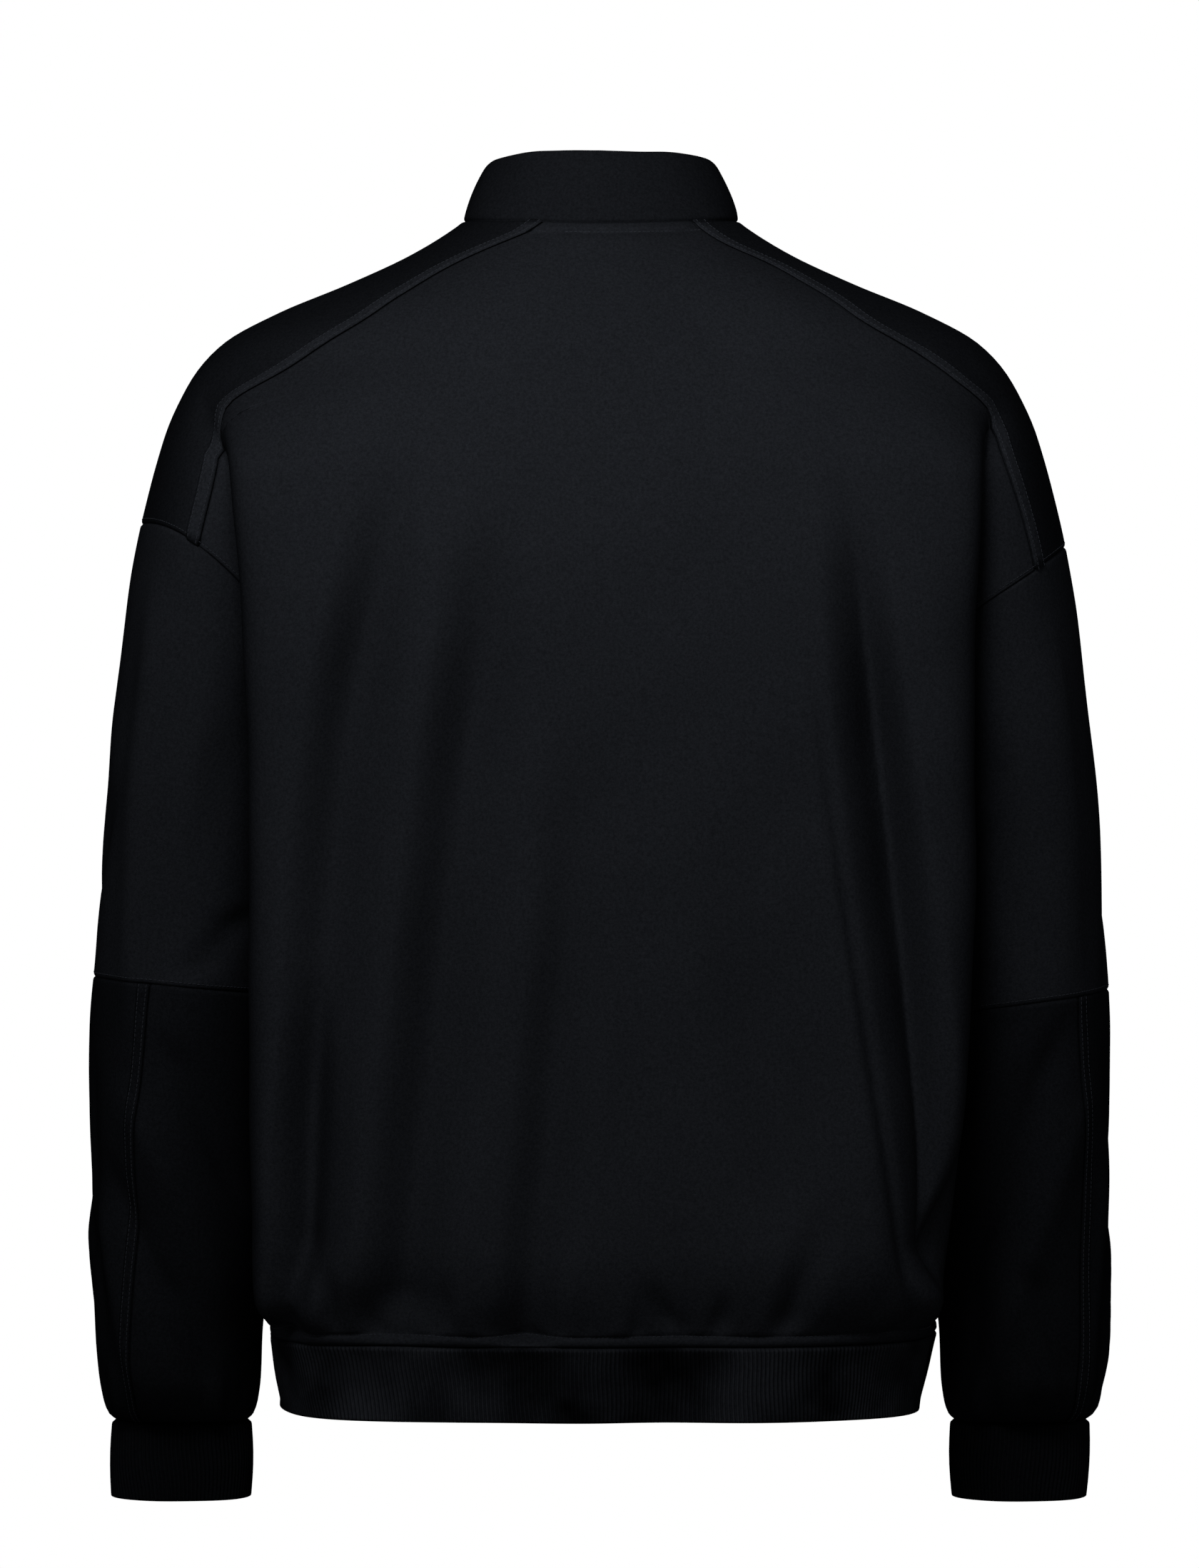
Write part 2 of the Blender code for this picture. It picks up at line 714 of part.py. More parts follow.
def shoulder_grid(side):
    """Heights and stations of a shoulder panel, in rows from the neck to the drop seam."""
    back = panel_edges(side, "back")[0]
    front = panel_edges(side, "front")[0]
    ridge = np.linspace(0, DROP_SEAM_Z[side], 80)
    ridge = along(ridge, even(body_form(ridge, 3.0, side), SHOULDER_ROWS + 1))
    heights, stations = [], []
    for k in range(SHOULDER_ROWS + 1):
        t = np.linspace(back[k, 1], front[k, 1], 241)
        past_back = np.clip((3 - t) / (3 - back[k, 1]), 0, 1)
        past_front = np.clip((t - 3) / (front[k, 1] - 3), 0, 1)
        z = ridge[k] + (back[k, 0] - ridge[k]) * past_back**2 + (front[k, 0] - ridge[k]) * past_front**2
        if k == 0:
            z = neck_z(t)
        if k == SHOULDER_ROWS:
            for _ in range(8):
                z = drop_seam_z((3 - t) * read(SLEEVE, "wrap", z), side)
        points = body_form(z, t, side)
        length = np.concatenate([[0], np.cumsum(np.linalg.norm(np.diff(points, axis=0), axis=1))])
        middle = np.interp(3, t, length)
        marks = np.concatenate(
            [
                [0],
                np.linspace(SHOULDER_TAPE_WIDTH, middle, SHOULDER_BACK_COLUMNS),
                np.linspace(middle, length[-1], SHOULDER_FRONT_COLUMNS)[1:],
            ]
        )
        heights.append(np.interp(marks, length, z))
        stations.append(np.interp(marks, length, t))
    return np.array(heights), np.array(stations)


def body_wall_grids(z, t, side):
    """Outer and inner points of a wall cut from body and shoulder."""
    outer = body(z, t, side)
    return outer, outer - body_normals(z, t, side) * CLOTH


def body_normals(z, t, side):
    """Normals of body and shoulder. Below the underarm they are taken from the piece's own half."""
    step = 0.02
    below = z < UNDERARM_Z + 1
    ahead = np.where(below & (t <= 2), np.minimum(t + step, 2), t + step)
    behind = np.where(below & (t >= 4), np.maximum(t - step, 4), t - step)
    down = body(z - 0.5, t, side) - body(z + 0.5, t, side)
    normal = np.cross(body(z, ahead, side) - body(z, behind, side), down) * side
    return normal / np.maximum(np.linalg.norm(normal, axis=-1, keepdims=True), 1e-9)


def sleeve_normals(z, turn, side):
    return outward(sleeve, z, turn, side, -1.0)


def make_back_panel():
    grids = {}
    for side in SIDES:
        z, t = half_panel(side, "back", BACK_COLUMNS)
        outer, inner = body_wall_grids(z, t, side)
        grids[side] = (inset(outer, columns=(False, True)), inset(inner, columns=(False, True)))
    outer = np.concatenate([grids[-1][0][:, :0:-1], grids[1][0]], 1)
    inner = np.concatenate([grids[-1][1][:, :0:-1], grids[1][1]], 1)
    wall("back_panel", outer, inner, BLACK)


def make_front(side):
    z, t = half_panel(side, "front", FRONT_COLUMNS)
    outer, inner = body_wall_grids(z, t, side)
    edges = (False, True)
    wall("front_" + SIDES[side], inset(outer, columns=edges), inset(inner, columns=edges), BLACK)


def make_shoulder(side):
    z, t = shoulder_grid(side)
    outer, inner = body_wall_grids(z, t, side)
    normals = body_normals(z, t, side)
    wall("shoulder_panel_" + SIDES[side], inset(outer), inset(inner), DEEP_BLACK)
    edge = inset(outer)[:, :2]
    low = edge + normals[:, :2] * LAP_GAP
    wall("shoulder_tape_" + SIDES[side], low + normals[:, :2] * TAPE_CLOTH, low, TAPE_BLACK)


def sleeve_turns(side):
    """Turns of the upper sleeve's columns, which meet the points of the pieces above it at the drop seam."""

    def turns(z, t):
        return (3 - t) * read(SLEEVE, "wrap", z)

    z, t = shoulder_grid(side)
    back = panel_edges(side, "back")[1]
    front = panel_edges(side, "front")[1]
    behind = turns(back[:, 0], back[:, 1])[::-1]
    ahead = turns(front[:, 0], front[:, 1])
    return np.concatenate([behind, turns(z[-1], t[-1]), ahead])


def make_upper_sleeve(side):
    turn = sleeve_turns(side)
    share = np.linspace(0, 1, UPPER_SLEEVE_ROWS)[:, None]
    z = drop_seam_z(turn, side) * (1 - share) + elbow_z(turn, side) * share
    turn = np.broadcast_to(turn, z.shape)
    outer = sleeve(z, turn, side)
    inner = outer - sleeve_normals(z, turn, side) * CLOTH
    wall("sleeve_upper_" + SIDES[side], inset(outer), inset(inner), BLACK)


def lower_sleeve_grid(side, first, last, columns, first_step=None):
    """A lower sleeve piece between two seams, given as turns at the elbow and at the cuff."""
    share = LOWER_SLEEVE_SHARES[:, None]
    start = first[0] * (1 - share) + first[1] * share
    end = last[0] * (1 - share) + last[1] * share
    marks = np.linspace(0, 1, columns)
    turn = start + (end - start) * marks
    if first_step:
        strip = start + np.sign(end - start) * first_step
        turn = np.concatenate([start, strip + (end - strip) * marks[None, :]], 1)
    z = elbow_z(turn, side) * (1 - share) + CUFF_SEAM_Z * share
    return z, turn


def make_lower_sleeve(side):
    back_seam = LOWER_BACK_SEAM[side]
    pieces = {
        "outer": (back_seam, (-LOWER_FRONT_SEAM, -LOWER_FRONT_SEAM), 8, SLEEVE_TAPE_TURN),
        "under": (back_seam, (360 - LOWER_FRONT_SEAM, 360 - LOWER_FRONT_SEAM), 11, None),
    }
    for name, (first, last, columns, first_step) in pieces.items():
        z, turn = lower_sleeve_grid(side, first, last, columns, first_step)
        outer = sleeve(z, turn, side)
        normals = sleeve_normals(z, turn, side)
        inner = outer - normals * CLOTH
        wall(f"sleeve_lower_{name}_" + SIDES[side], inset(outer), inset(inner), DEEP_BLACK)
        if first_step:
            low = inset(outer)[:, :2] + normals[:, :2] * LAP_GAP
            wall("sleeve_tape_" + SIDES[side], low + normals[:, :2] * TAPE_CLOTH, low, TAPE_BLACK)


def flat_normals(path, closed):
    """Normals of a level path, to its right as it runs."""
    if closed:
        way = np.roll(path, -1, 0) - np.roll(path, 1, 0)
    else:
        way = np.gradient(path, axis=0)
    normal = np.stack([way[:, 1], -way[:, 0], np.zeros(len(way))], 1)
    return normal / np.linalg.norm(normal, axis=1, keepdims=True)


def ribbed_wall(name, path, drop, taper, centre, per_panel, closed):
    """A band of vertical ribs below a level path, ribbed outside and plain inside."""
    normals = flat_normals(path, closed)
    count = len(path)
    ridge = np.where(np.arange(count) % 2 == 0, -RIB_RAISE, RIB_RAISE)[:, None]
    inner_marks = np.arange(0, count, per_panel)
    rows = []
    for level, scale in ((0.0, 1.0), (-drop, taper)):
        scaled = centre + (path - centre) * (scale, scale, 1.0) + (0, 0, level)
        rows.append((scaled + normals * ridge, (scaled - normals * RIB_CLOTH)[inner_marks]))
    inner_count = len(inner_marks)
    points = np.concatenate([rows[0][0], rows[1][0], rows[0][1], rows[1][1]])
    low, inside = count, 2 * count
    inside_low = inside + inner_count
    faces = []
    for k in range(count if closed else count - 1):
        n = (k + 1) % count
        faces.append((k, k + low, n + low, n))
    for j in range(inner_count if closed else inner_count - 1):
        m = (j + 1) % inner_count
        faces.append((inside + j, inside + m, inside_low + m, inside_low + j))
        half = per_panel // 2
        for level, (outer_start, inner_start) in enumerate(((0, inside), (low, inside_low))):
            fan = []
            for step in range(per_panel):
                a = outer_start + (j * per_panel + step) % count
                b = outer_start + (j * per_panel + step + 1) % count
                fan.append((a, b, inner_start + (j if step < half else m)))
            fan.append((outer_start + (j * per_panel + half) % count, inner_start + m, inner_start + j))
            faces.extend(fan if level == 0 else [face[::-1] for face in fan])
    if not closed:
        faces.append((0, inside, inside_low, low))
        last = count - 1
        faces.append((last, last + low, inside_low + inner_count - 1, inside + inner_count - 1))
    make_piece(name, points, facing_out(points, faces), RIB_BLACK, 0.7)


def level_path(points, spans, closed):
    """Points spaced evenly along a path."""
    places = even(np.concatenate([points, points[:1]]) if closed else points, spans + 1)
    source = np.concatenate([points, points[:1]]) if closed else points
    even_points = np.stack([along(source[:, axis], places) for axis in range(3)], 1)
    return even_points[:-1] if closed else even_points


def hem_outline():
    """The body's lower edge from the zip on the wearer's left, round the back, to the zip on the right."""
    parts = []
    for side, order in ((1, 1), (-1, -1)):
        front = np.linspace(station_at(HEM_SEAM_Z, ZIP_HALF_GAP, side, "front"), 4, 200)
        back = np.linspace(2, 0, 300)
        half = np.concatenate([body_form(HEM_SEAM_Z, front, side), body_form(HEM_SEAM_Z, back[1:], side)])
        parts.append(half[::order])
    return np.concatenate([parts[0], parts[1][1:]])


def make_hem():
    outline = hem_outline()
    length = np.linalg.norm(np.diff(outline, axis=0), axis=1).sum()
    panels = round(length / (RIB_PITCH / 2) / HEM_POINTS_PER_PANEL)
    path = level_path(outline, panels * HEM_POINTS_PER_PANEL, False)
    path[:, 2] = HEM_SEAM_Z - SEAM_GAP / 2
    drop = HEM_SEAM_Z - SEAM_GAP / 2 - HEM_Z
    centre = np.array([0.0, 0.0, HEM_SEAM_Z])
    ribbed_wall("hem_rib", path[::-1], drop, HEM_TAPER, centre, HEM_POINTS_PER_PANEL, False)


def make_cuff(side):
    outline = sleeve_form(CUFF_SEAM_Z, np.linspace(0, 360, 361)[:-1], side)
    length = np.linalg.norm(np.diff(outline, axis=0), axis=1).sum()
    panels = round(length / (RIB_PITCH / 2) / CUFF_POINTS_PER_PANEL)
    path = level_path(outline, panels * CUFF_POINTS_PER_PANEL, True)
    path[:, 2] = CUFF_SEAM_Z - SEAM_GAP / 2
    drop = CUFF_SEAM_Z - SEAM_GAP / 2 - CUFF_Z
    centre = np.append(path[:, :2].mean(0), CUFF_SEAM_Z)
    order = -1 if side == 1 else 1
    name = "cuff_" + SIDES[side]
    ribbed_wall(name, path[::order], drop, CUFF_TAPER, centre, CUFF_POINTS_PER_PANEL, True)


def collar_points(base, shares):
    """Rows of collar points that rise from points on the neck seam."""
    centre = np.array([0.0, COLLAR_CENTRE_Y, 0.0])
    away = (base - centre) * (1, 1, 0)
    away = away / np.linalg.norm(away, axis=1, keepdims=True)
    turn = np.degrees(np.arctan2(np.abs(base[:, 0]), base[:, 1] - COLLAR_CENTRE_Y))
    inward, forward, rise = (
        eased(turn, COLLAR["turn"], COLLAR[column]) for column in ("inward", "forward", "rise")
    )
    move = np.stack([-away[:, 0] * inward, -away[:, 1] * inward - forward, rise], 1)
    rows = [base + move * share + away * COLLAR_BULGE * 4 * share * (1 - share) for share in shares]
    return np.array(rows)


def neck_points():
    """Points of the neck seam, from the zip on the wearer's right, round the back, to the zip on the left."""
    halves = {}
    for side in SIDES:
        front_z, front_t = half_panel(side, "front", FRONT_COLUMNS)
        shoulder_z, shoulder_t = shoulder_grid(side)
        back_z, back_t = half_panel(side, "back", BACK_COLUMNS)
        front = body_form(front_z[0], front_t[0], side)
        shoulder = body_form(shoulder_z[0], shoulder_t[0], side)[::-1]
        back = body_form(back_z[0], back_t[0], side)[::-1]
        halves[side] = np.concatenate([front, shoulder[1:], back[1:]])
    return np.concatenate([halves[-1], halves[1][-2::-1]])


def grid_normals(grid):
    """Normals of an open grid of points whose rows rise and whose columns run from right to left."""
    up = np.gradient(grid, axis=0)
    beside = np.gradient(grid, axis=1)
    normal = np.cross(beside, up)
    return normal / np.maximum(np.linalg.norm(normal, axis=-1, keepdims=True), 1e-9)


def make_collar():
    base = neck_points()
    outer = collar_points(base, np.linspace(0, 1, COLLAR_ROWS))
    normals = grid_normals(outer)
    away = outer[0] - (0, COLLAR_CENTRE_Y, 0)
    if (normals[0] * away).sum(-1).mean() < 0:
        normals = -normals
    inner = outer - normals * CLOTH
    edges = {"rows": (True, False), "columns": (False, False), "gap": SEAM_GAP}
    wall("collar", inset(outer, **edges), inset(inner, **edges), BLACK)


def zip_tape_grid(side):
    """Surface points behind which a zip tape lies, from the hem up to the collar's edge."""
    z, t = half_panel(side, "front", FRONT_COLUMNS)
    columns = body(z[:, :2], t[:, :2], side)
    middle = body_form(z[:, 0], 6.0, side)
    middle[:, 0] = side * ZIP_TAPE_EDGE
    front = np.concatenate([middle[:, None], columns], 1)
    collar = collar_points(front[0], np.linspace(0, 1, COLLAR_ROWS))[::-1]
    hem = front[-1] * (HEM_TAPER, HEM_TAPER, 0) + (0, 0, HEM_Z)
    hem[:, 0] = front[-1][:, 0]
    return np.concatenate([collar[:-1], front, hem[None]])


def make_zip_tape(side):
    grid = zip_tape_grid(side)
    normals = grid_normals(grid)
    normals = normals * -np.sign(normals[..., 1:2])
    depth = np.full((len(grid), 1, 1), CLOTH + LAP_GAP)
    depth[:COLLAR_ROWS] += ZIP_COLLAR_ROOM
    depth[-2:] = RIB_CLOTH + RIB_RAISE + LAP_GAP
    outer = grid - normals * depth
    wall("zip_tape_" + SIDES[side], outer, outer - normals * TAPE_CLOTH, DEEP_BLACK)


def polygon_area(outline):
    x, y = np.asarray(outline, float).T
    return float((x * np.roll(y, -1) - np.roll(x, -1) * y).sum()) / 2


def prism(name, outline, low, high, axis):
    """A metal solid between two levels of an axis (0 across, 1 along, 2 out), with its outline in the others."""
    others = [k for k in range(3) if k != axis]
    count = len(outline)
    points = np.zeros((2 * count, 3))
    points[:count, others] = outline
    points[count:, others] = outline
    points[:count, axis] = low
    points[count:, axis] = high
    faces = [tuple(range(count)), tuple(range(2 * count - 1, count - 1, -1))]
    for k in range(count):
        n = (k + 1) % count
        faces.append((n, k, k + count, n + count))
    if (polygon_area(outline) > 0) != (axis == 1):
        faces = [face[::-1] for face in faces]
    return make_piece(name, points, faces, METAL_BLACK, 0.35, 1.0)


def zip_place():
    """Where the closed slider sits: its place on the collar's outer surface, and the zip's way up there."""
    base = body_form(NECK_FRONT_Z, np.array([6.0]), 1)
    low, high = collar_points(base, np.array([SLIDER_SHARE - 0.1, SLIDER_SHARE + 0.1]))[:, 0]
    up = high - low
    return (low + high) / 2, up / np.linalg.norm(up)


def place(piece, out=0.0):
    where, up = zip_place()
    where = where + np.cross((1.0, 0.0, 0.0), up) * out
    piece.location = tuple(where * MM)
    piece.rotation_euler = (float(np.arctan2(up[2], up[1])), 0.0, 0.0)


def combine(piece, operation, other):
    """Joins another solid to a piece or cuts it out, and keeps that other solid out of the model."""
    other.hide_render = True
    modifier = piece.modifiers.new(operation.title(), "BOOLEAN")
    modifier.operation = operation
    modifier.solver = "EXACT"
    modifier.object = other


def make_slider():
    """The slider's body and its crown, under which the pull tab's bar turns."""
    body_side, plate_side = SLIDER_HALF_WIDTH, SLIDER_PLATE_HALF_WIDTH
    profile = [
        (-body_side, SLIDER_BACK),
        (body_side, SLIDER_BACK),
        (body_side, SLIDER_PLATE_BACK),
        (plate_side, SLIDER_PLATE_BACK),
        (plate_side, SLIDER_PLATE_FACE),
        (-plate_side, SLIDER_PLATE_FACE),
        (-plate_side, SLIDER_PLATE_BACK),
        (-body_side, SLIDER_PLATE_BACK),
    ]
    slider = prism("zip_slider", profile, -SLIDER_LENGTH / 2, SLIDER_LENGTH / 2, 1)
    outer, inner = CROWN_HALF_LENGTH, CROWN_HALF_LENGTH - CROWN_WALL
    foot = SLIDER_PLATE_FACE - CROWN_SINK
    arch = [
        (-outer, foot),
        (-inner, foot),
        (-inner, CROWN_ROOM_TOP),
        (inner, CROWN_ROOM_TOP),
        (inner, foot),
        (outer, foot),
        (outer, CROWN_TOP - CROWN_BEND),
        (outer - CROWN_BEND, CROWN_TOP),
        (CROWN_BEND - outer, CROWN_TOP),
        (-outer, CROWN_TOP - CROWN_BEND),
    ]
    crown = prism("zip_slider_crown", arch, -CROWN_HALF_WIDTH, CROWN_HALF_WIDTH, 0)
    place(slider)
    place(crown)
    combine(slider, "UNION", crown)


def make_pull():
    """The pull tab. Its origin is on its hinge, the middle of the bar under the slider's crown."""
    bar = PULL_THICKNESS / 2
    eye, side = PULL_EYE_HALF_WIDTH, PULL_HALF_WIDTH
    shoulder = -(bar + PULL_HOLE_LENGTH + PULL_THICKNESS)
    round_end = [
        (side * np.cos(angle), side - PULL_LENGTH + side * np.sin(angle))
        for angle in np.radians(np.linspace(0, -180, 9))
    ]
    top = [(-side, shoulder - PULL_FLARE), (-eye, shoulder), (-eye, bar)]
    top += [(eye, bar), (eye, shoulder), (side, shoulder - PULL_FLARE)]
    pull = prism("zip_pull", top + round_end, -bar, bar, 2)
    hole_side, hole_end = PULL_HOLE_HALF_WIDTH, -bar - PULL_HOLE_LENGTH
    hole = [(-hole_side, -bar), (hole_side, -bar), (hole_side, hole_end), (-hole_side, hole_end)]
    cutter = prism("zip_pull_hole", hole, -PULL_THICKNESS, PULL_THICKNESS, 2)
    place(pull, PULL_AXIS)
    place(cutter, PULL_AXIS)
    combine(pull, "DIFFERENCE", cutter)


def main():
    for item in list(bpy.data.objects):
        bpy.data.objects.remove(item)
    make_back_panel()
    for side in SIDES:
        make_front(side)
        make_shoulder(side)
        make_upper_sleeve(side)
        make_lower_sleeve(side)
        make_cuff(side)
        make_zip_tape(side)
    make_hem()
    make_collar()
    make_slider()
    make_pull()


main()
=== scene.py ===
"""Dressed track jacket: thin cloth shells on the solids' form, with folds, seams, ribs, stitching and zip."""

import functools
import math

import bpy
import numpy as np
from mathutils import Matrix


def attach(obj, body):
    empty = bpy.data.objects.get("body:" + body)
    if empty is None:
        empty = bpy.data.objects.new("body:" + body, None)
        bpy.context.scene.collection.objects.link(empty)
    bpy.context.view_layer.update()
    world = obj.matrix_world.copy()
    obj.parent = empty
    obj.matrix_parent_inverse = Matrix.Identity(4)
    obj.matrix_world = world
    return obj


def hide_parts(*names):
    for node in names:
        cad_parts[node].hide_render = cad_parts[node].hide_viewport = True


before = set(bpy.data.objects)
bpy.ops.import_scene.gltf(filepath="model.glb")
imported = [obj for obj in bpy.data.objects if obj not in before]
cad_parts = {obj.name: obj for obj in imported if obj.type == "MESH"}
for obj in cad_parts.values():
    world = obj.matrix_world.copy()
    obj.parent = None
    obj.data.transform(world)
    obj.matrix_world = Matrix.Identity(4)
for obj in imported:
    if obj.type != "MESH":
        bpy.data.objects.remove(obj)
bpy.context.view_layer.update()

bl_info = {
    "name": "Track Jacket",
    "version": (1, 0, 0),
    "blender": (4, 5, 0),
    "location": "View3D > Sidebar > Jacket",
    "description": "Builds the cloth, ribs, stitching, zip and studio of a track jacket",
    "category": "Object",
}

# Sizes are in millimetres, as in the part's source, and meshes are scaled to metres when they are made.
MM = 0.001
CLOTH = 2.0
RIB_CLOTH = 3.0
COLLAR_CLOTH = 3.4

NECK_BACK_Z = -5.0
NECK_FRONT_Z = -66.0
NECK_FRONT_POWER = 2.6
NECK_FRONT_ROUND = 1.4
SHOULDER_Z = -78.0
SLEEVE_SPLIT_Z = -150.0
UNDERARM_Z = -250.0
HEM_SEAM_Z = -637.0
HEM_Z = -680.0
CUFF_SEAM_Z = -690.0
CUFF_Z = -735.0

HEM_HALF_WIDTH = 184.5
HEM_BACK = 121.0
HEM_FRONT = 118.0
HEM_POWER = 3.3
HEM_FLARE = 6.5
HEM_FLARE_END = 80.0
HEM_TAPER = 0.985
CUFF_TAPER = 0.985
BODY_POWER = 3.4
# Heights near the neck and the power of the oval section there.
NECK_POWER = ((-100, -50, 0), (2.4, 2.2, 2.0))

DROP_SEAM_Z = {1: -174.0, -1: -187.0}
DROP_SEAM_POWER = {1: 1.9, -1: 1.0}
ELBOW_Z = {1: -438.0, -1: -448.0}
ELBOW_SLOPE = {1: 0.09, -1: 0.13}
ELBOW_MIDDLE = 240.0
LOWER_BACK_SEAM = {1: (70.0, 57.0), -1: (53.0, 50.0)}
LOWER_FRONT_SEAM = 64.0

SHOULDER_TAPE_WIDTH = 9.5
SLEEVE_TAPE_TURN = 7.0
ZIP_HALF_GAP = 3.5
ZIP_TAPE_WIDTH = 12.0
COLLAR_CENTRE_Y = -10.0
COLLAR_BULGE = 1.5

SIDES = {1: "left", -1: "right"}

# How finely each piece is parted into rows and columns.
SHOULDER_ROWS = 46
UNDERARM_ROWS = 20
SIDE_SHARES = np.append(np.linspace(0, 0.967, 80)[1:], 1.0)
BACK_COLUMNS = 112
FRONT_COLUMNS = 84
LAP_COLUMNS = 15
ARM_COLUMNS = 12
ARM_LEAST = 0.18
FINE_PLACES = 240
SEAM_PLACES = 120
FOLD_COLUMN_TOP_Z = -98.0
FOLD_COLUMN_LOW_Z = -128.0
SHOULDER_BACK_COLUMNS = 22
SHOULDER_FRONT_COLUMNS = 22
UPPER_SLEEVE_ROWS = 62
LOWER_SLEEVE_SHARES = np.linspace(0, 1, 72)
LOWER_SLEEVE_COLUMNS = {"outer": 36, "under": 56}
TAPE_COLUMNS = 9
COLLAR_ROWS = 20
COLUMNS_PER_RIB = 6
RIB_ROWS = 6

# Extra lines of points near the edges of a piece, in millimetres from them.
EDGE_MARKS = {
    "sewn": (0.5, 1.1, 1.8, 2.8),
    "hem": (0.5, 1.1, 1.8, 2.8, 4.0, 4.8, 5.3, 5.7, 6.2, 6.9, 8.0, 10.0),
    "free": (0.1, 0.35, 0.7, 1.2, 2.2),
}
EDGE_ROOM = 1.25
EDGE_ROWS = 4
SEAM_DIP = 1.1
SEAM_REACH = 2.2
# A round free edge keeps this share of the cloth's thickness off, and no wall gets thinner than the least.
EDGE_DRAW = 0.96
LEAST_WALL = 0.08

TAPE_RAISE = 0.75
TAPE_ROUND = 5
TAPE_EDGE = 0.12
TAPE_FOOT = -0.1
TAPE_STITCH_RAISE = 0.1
HEM_ROUND = 165.0

RIB_PITCH = 2.45
RIB_RAISE = 1.0
RIB_LEAN = 0.035
RIB_SWAY = 0.03
RIB_WANDER = 0.5
RIB_BULGE = 1.0
# How far a band's first rows lie below its seam and its last ones above its edge, and the room for the rest.
RIB_STARTS = np.array([0, 0.5, 1.1, 1.9, 3.0])
RIB_ENDS = np.array([3.0, 1.9, 1.2, 0.7, 0.35, 0.1, 0.0])
RIB_ROOM = (4.5, 4.0)
RIB_PROFILE_POWER = 0.65

COLLAR_COLUMNS = 190
COLLAR_RISE = 40.0
COLLAR_TUCK = (3.0, 1.5)
COLLAR_TUCK_IN = 0.25
FREE_EDGE_ROOM = 4.5

ZIP_TAPE_EDGE = 0.25
ZIP_TAPE_CLOTH = 0.9
ZIP_ROOM = 0.35
ZIP_COLLAR_ROWS = 12
ZIP_HEM_ROWS = 8
# Where the columns of a zip tape lie: 0 is the middle of the zip, 1 the front's edge and 2 the tape's edge.
ZIP_TAPE_MARKS = (0, 0.5, 1, 1.25, 1.5, 1.75, 2)
TOOTH_PITCH = 1.6
TOOTH_TOP_ROOM = 3.0
TOOTH_LOW_ROOM = 1.5
TOOTH_MIDDLE = 0.4
# A tooth's outline across and along the zip, and how far out its levels stand and how wide they are.
TOOTH_OUTLINE = ((-0.7, -0.62), (1.5, -0.5), (1.5, 0.5), (-0.7, 0.62))
TOOTH_LEVELS = ((-0.3, 1.0), (0.9, 1.0), (1.3, 0.8))

# How fine the weave, its fibres and the metal's mottle are, and how deep their bumps are in metres.
WEAVE_SCALE = 620.0
FIBRE_SCALE = 1500.0
MOTTLE_SCALE = 900.0
WEAVE_DEPTH = 0.0004
MOTTLE_DEPTH = 0.0001
# The share of its tone that cloth keeps where it turns away from the camera, where painted shade darkens it.
TURN_SHADE_LOW = 0.3
METAL_SPECULAR = 0.02
METAL_ROUGHNESS = 0.5
METAL_BEVEL = 0.25 * MM

# The stage is in metres. Its floor lies as far below the neck as it does when a wearer stands.
FLOOR_Z = -1.45
FLOOR_RADIUS = 6.0
FLOOR_SIDES = 96
SENSOR = 36.0
CAMERA_X = 0.0008
CAMERA_Z = -0.323
LIGHT_COLOUR = (0.93, 0.96, 1.0)
LIGHT_SPREAD = 65.0
# Each light's name, its place, where it aims, its width and height, and the setting that holds its power.
LIGHTS = (
    ("Key", (0.34, 1.15, 0.92), (0.03, 0.1, 0.03), 0.9, 0.65, "key_power"),
    ("Left side", (1.5, 0.3, 0.25), (0.27, 0.0, -0.3), 0.6, 0.8, "side_power"),
    ("Right side", (-1.5, 0.3, 0.25), (-0.27, 0.0, -0.3), 0.6, 0.8, "side_power"),
    ("Front key", (-0.3, -1.25, 0.75), (0.0, -0.1, 0.0), 0.6, 0.45, "front_power"),
)

STITCH_PITCH = 2.6
STITCH_LENGTH = 2.05
STITCH_WIDTH = 0.42
STITCH_SINK = 0.02
STITCH_SIDES = 6
# Where along a stitch its rings of points lie, and how wide they are.
STITCH_RINGS = ((-0.5, 0.45), (-0.3, 1.0), (0.3, 1.0), (0.5, 0.45))

# Rows of stitches, by their distance from the seam, and the lip and groove that they press into the cloth.
HEM_STITCH = 5.6
NECK_STITCH = 5.7
SEAM_LIP = 0.5
STITCH_GROOVE = 0.9
GROOVE_REACH = 1.1
ELBOW_STITCH = 2.6
DROP_STITCH = 2.6
SLEEVE_TAPE_RAISE = 0.35
ZIP_STITCHES = (1.6, 6.2)
TAPE_STITCHES = (0.19, 0.81)
STITCH_PLACES = 400
ELBOW_PLACES = 500

# Where folds and waves start and end, in millimetres from the zip, in stations and in heights.
ZIP_CALM = 8.0
FOLD_END = 1.12
FOLD_FADE = 0.25
HEM_PUCKER_TOP = -598.0
HEM_WAVE_TOP = -560.0
CUFF_PUCKER_TOP = -640.0
NECK_LIP_HALF = 54.0
UNDERARM_TURN = 163.0


def table(columns, *rows):
    """Named columns from rows written from the top of the garment down, kept from the lowest up."""
    values = np.array(rows[::-1], float).T
    return dict(zip(columns.split(), values))


# Half of the garment's width from behind, sleeves included.
OUTLINE = table(
    "z half_width",
    (10, 68),
    (0, 79),
    (-4, 84),
    (-20, 110),
    (-37, 146.5),
    (-53, 185),
    (-70, 216),
    (-86, 231.5),
    (-102, 241),
    (-119, 248.7),
    (-135, 253.8),
    (-152, 258.5),
    (-185, 266.3),
    (-217, 271.8),
    (-250, 276.3),
    (-316, 284.3),
    (-381, 289.5),
    (-447, 293.5),
    (-529, 295.8),
    (-595, 293.7),
    (-660, 290.8),
    (-677, 288.5),
    (-685, 286),
    (-690, 281.5),
    (-735, 279),
)

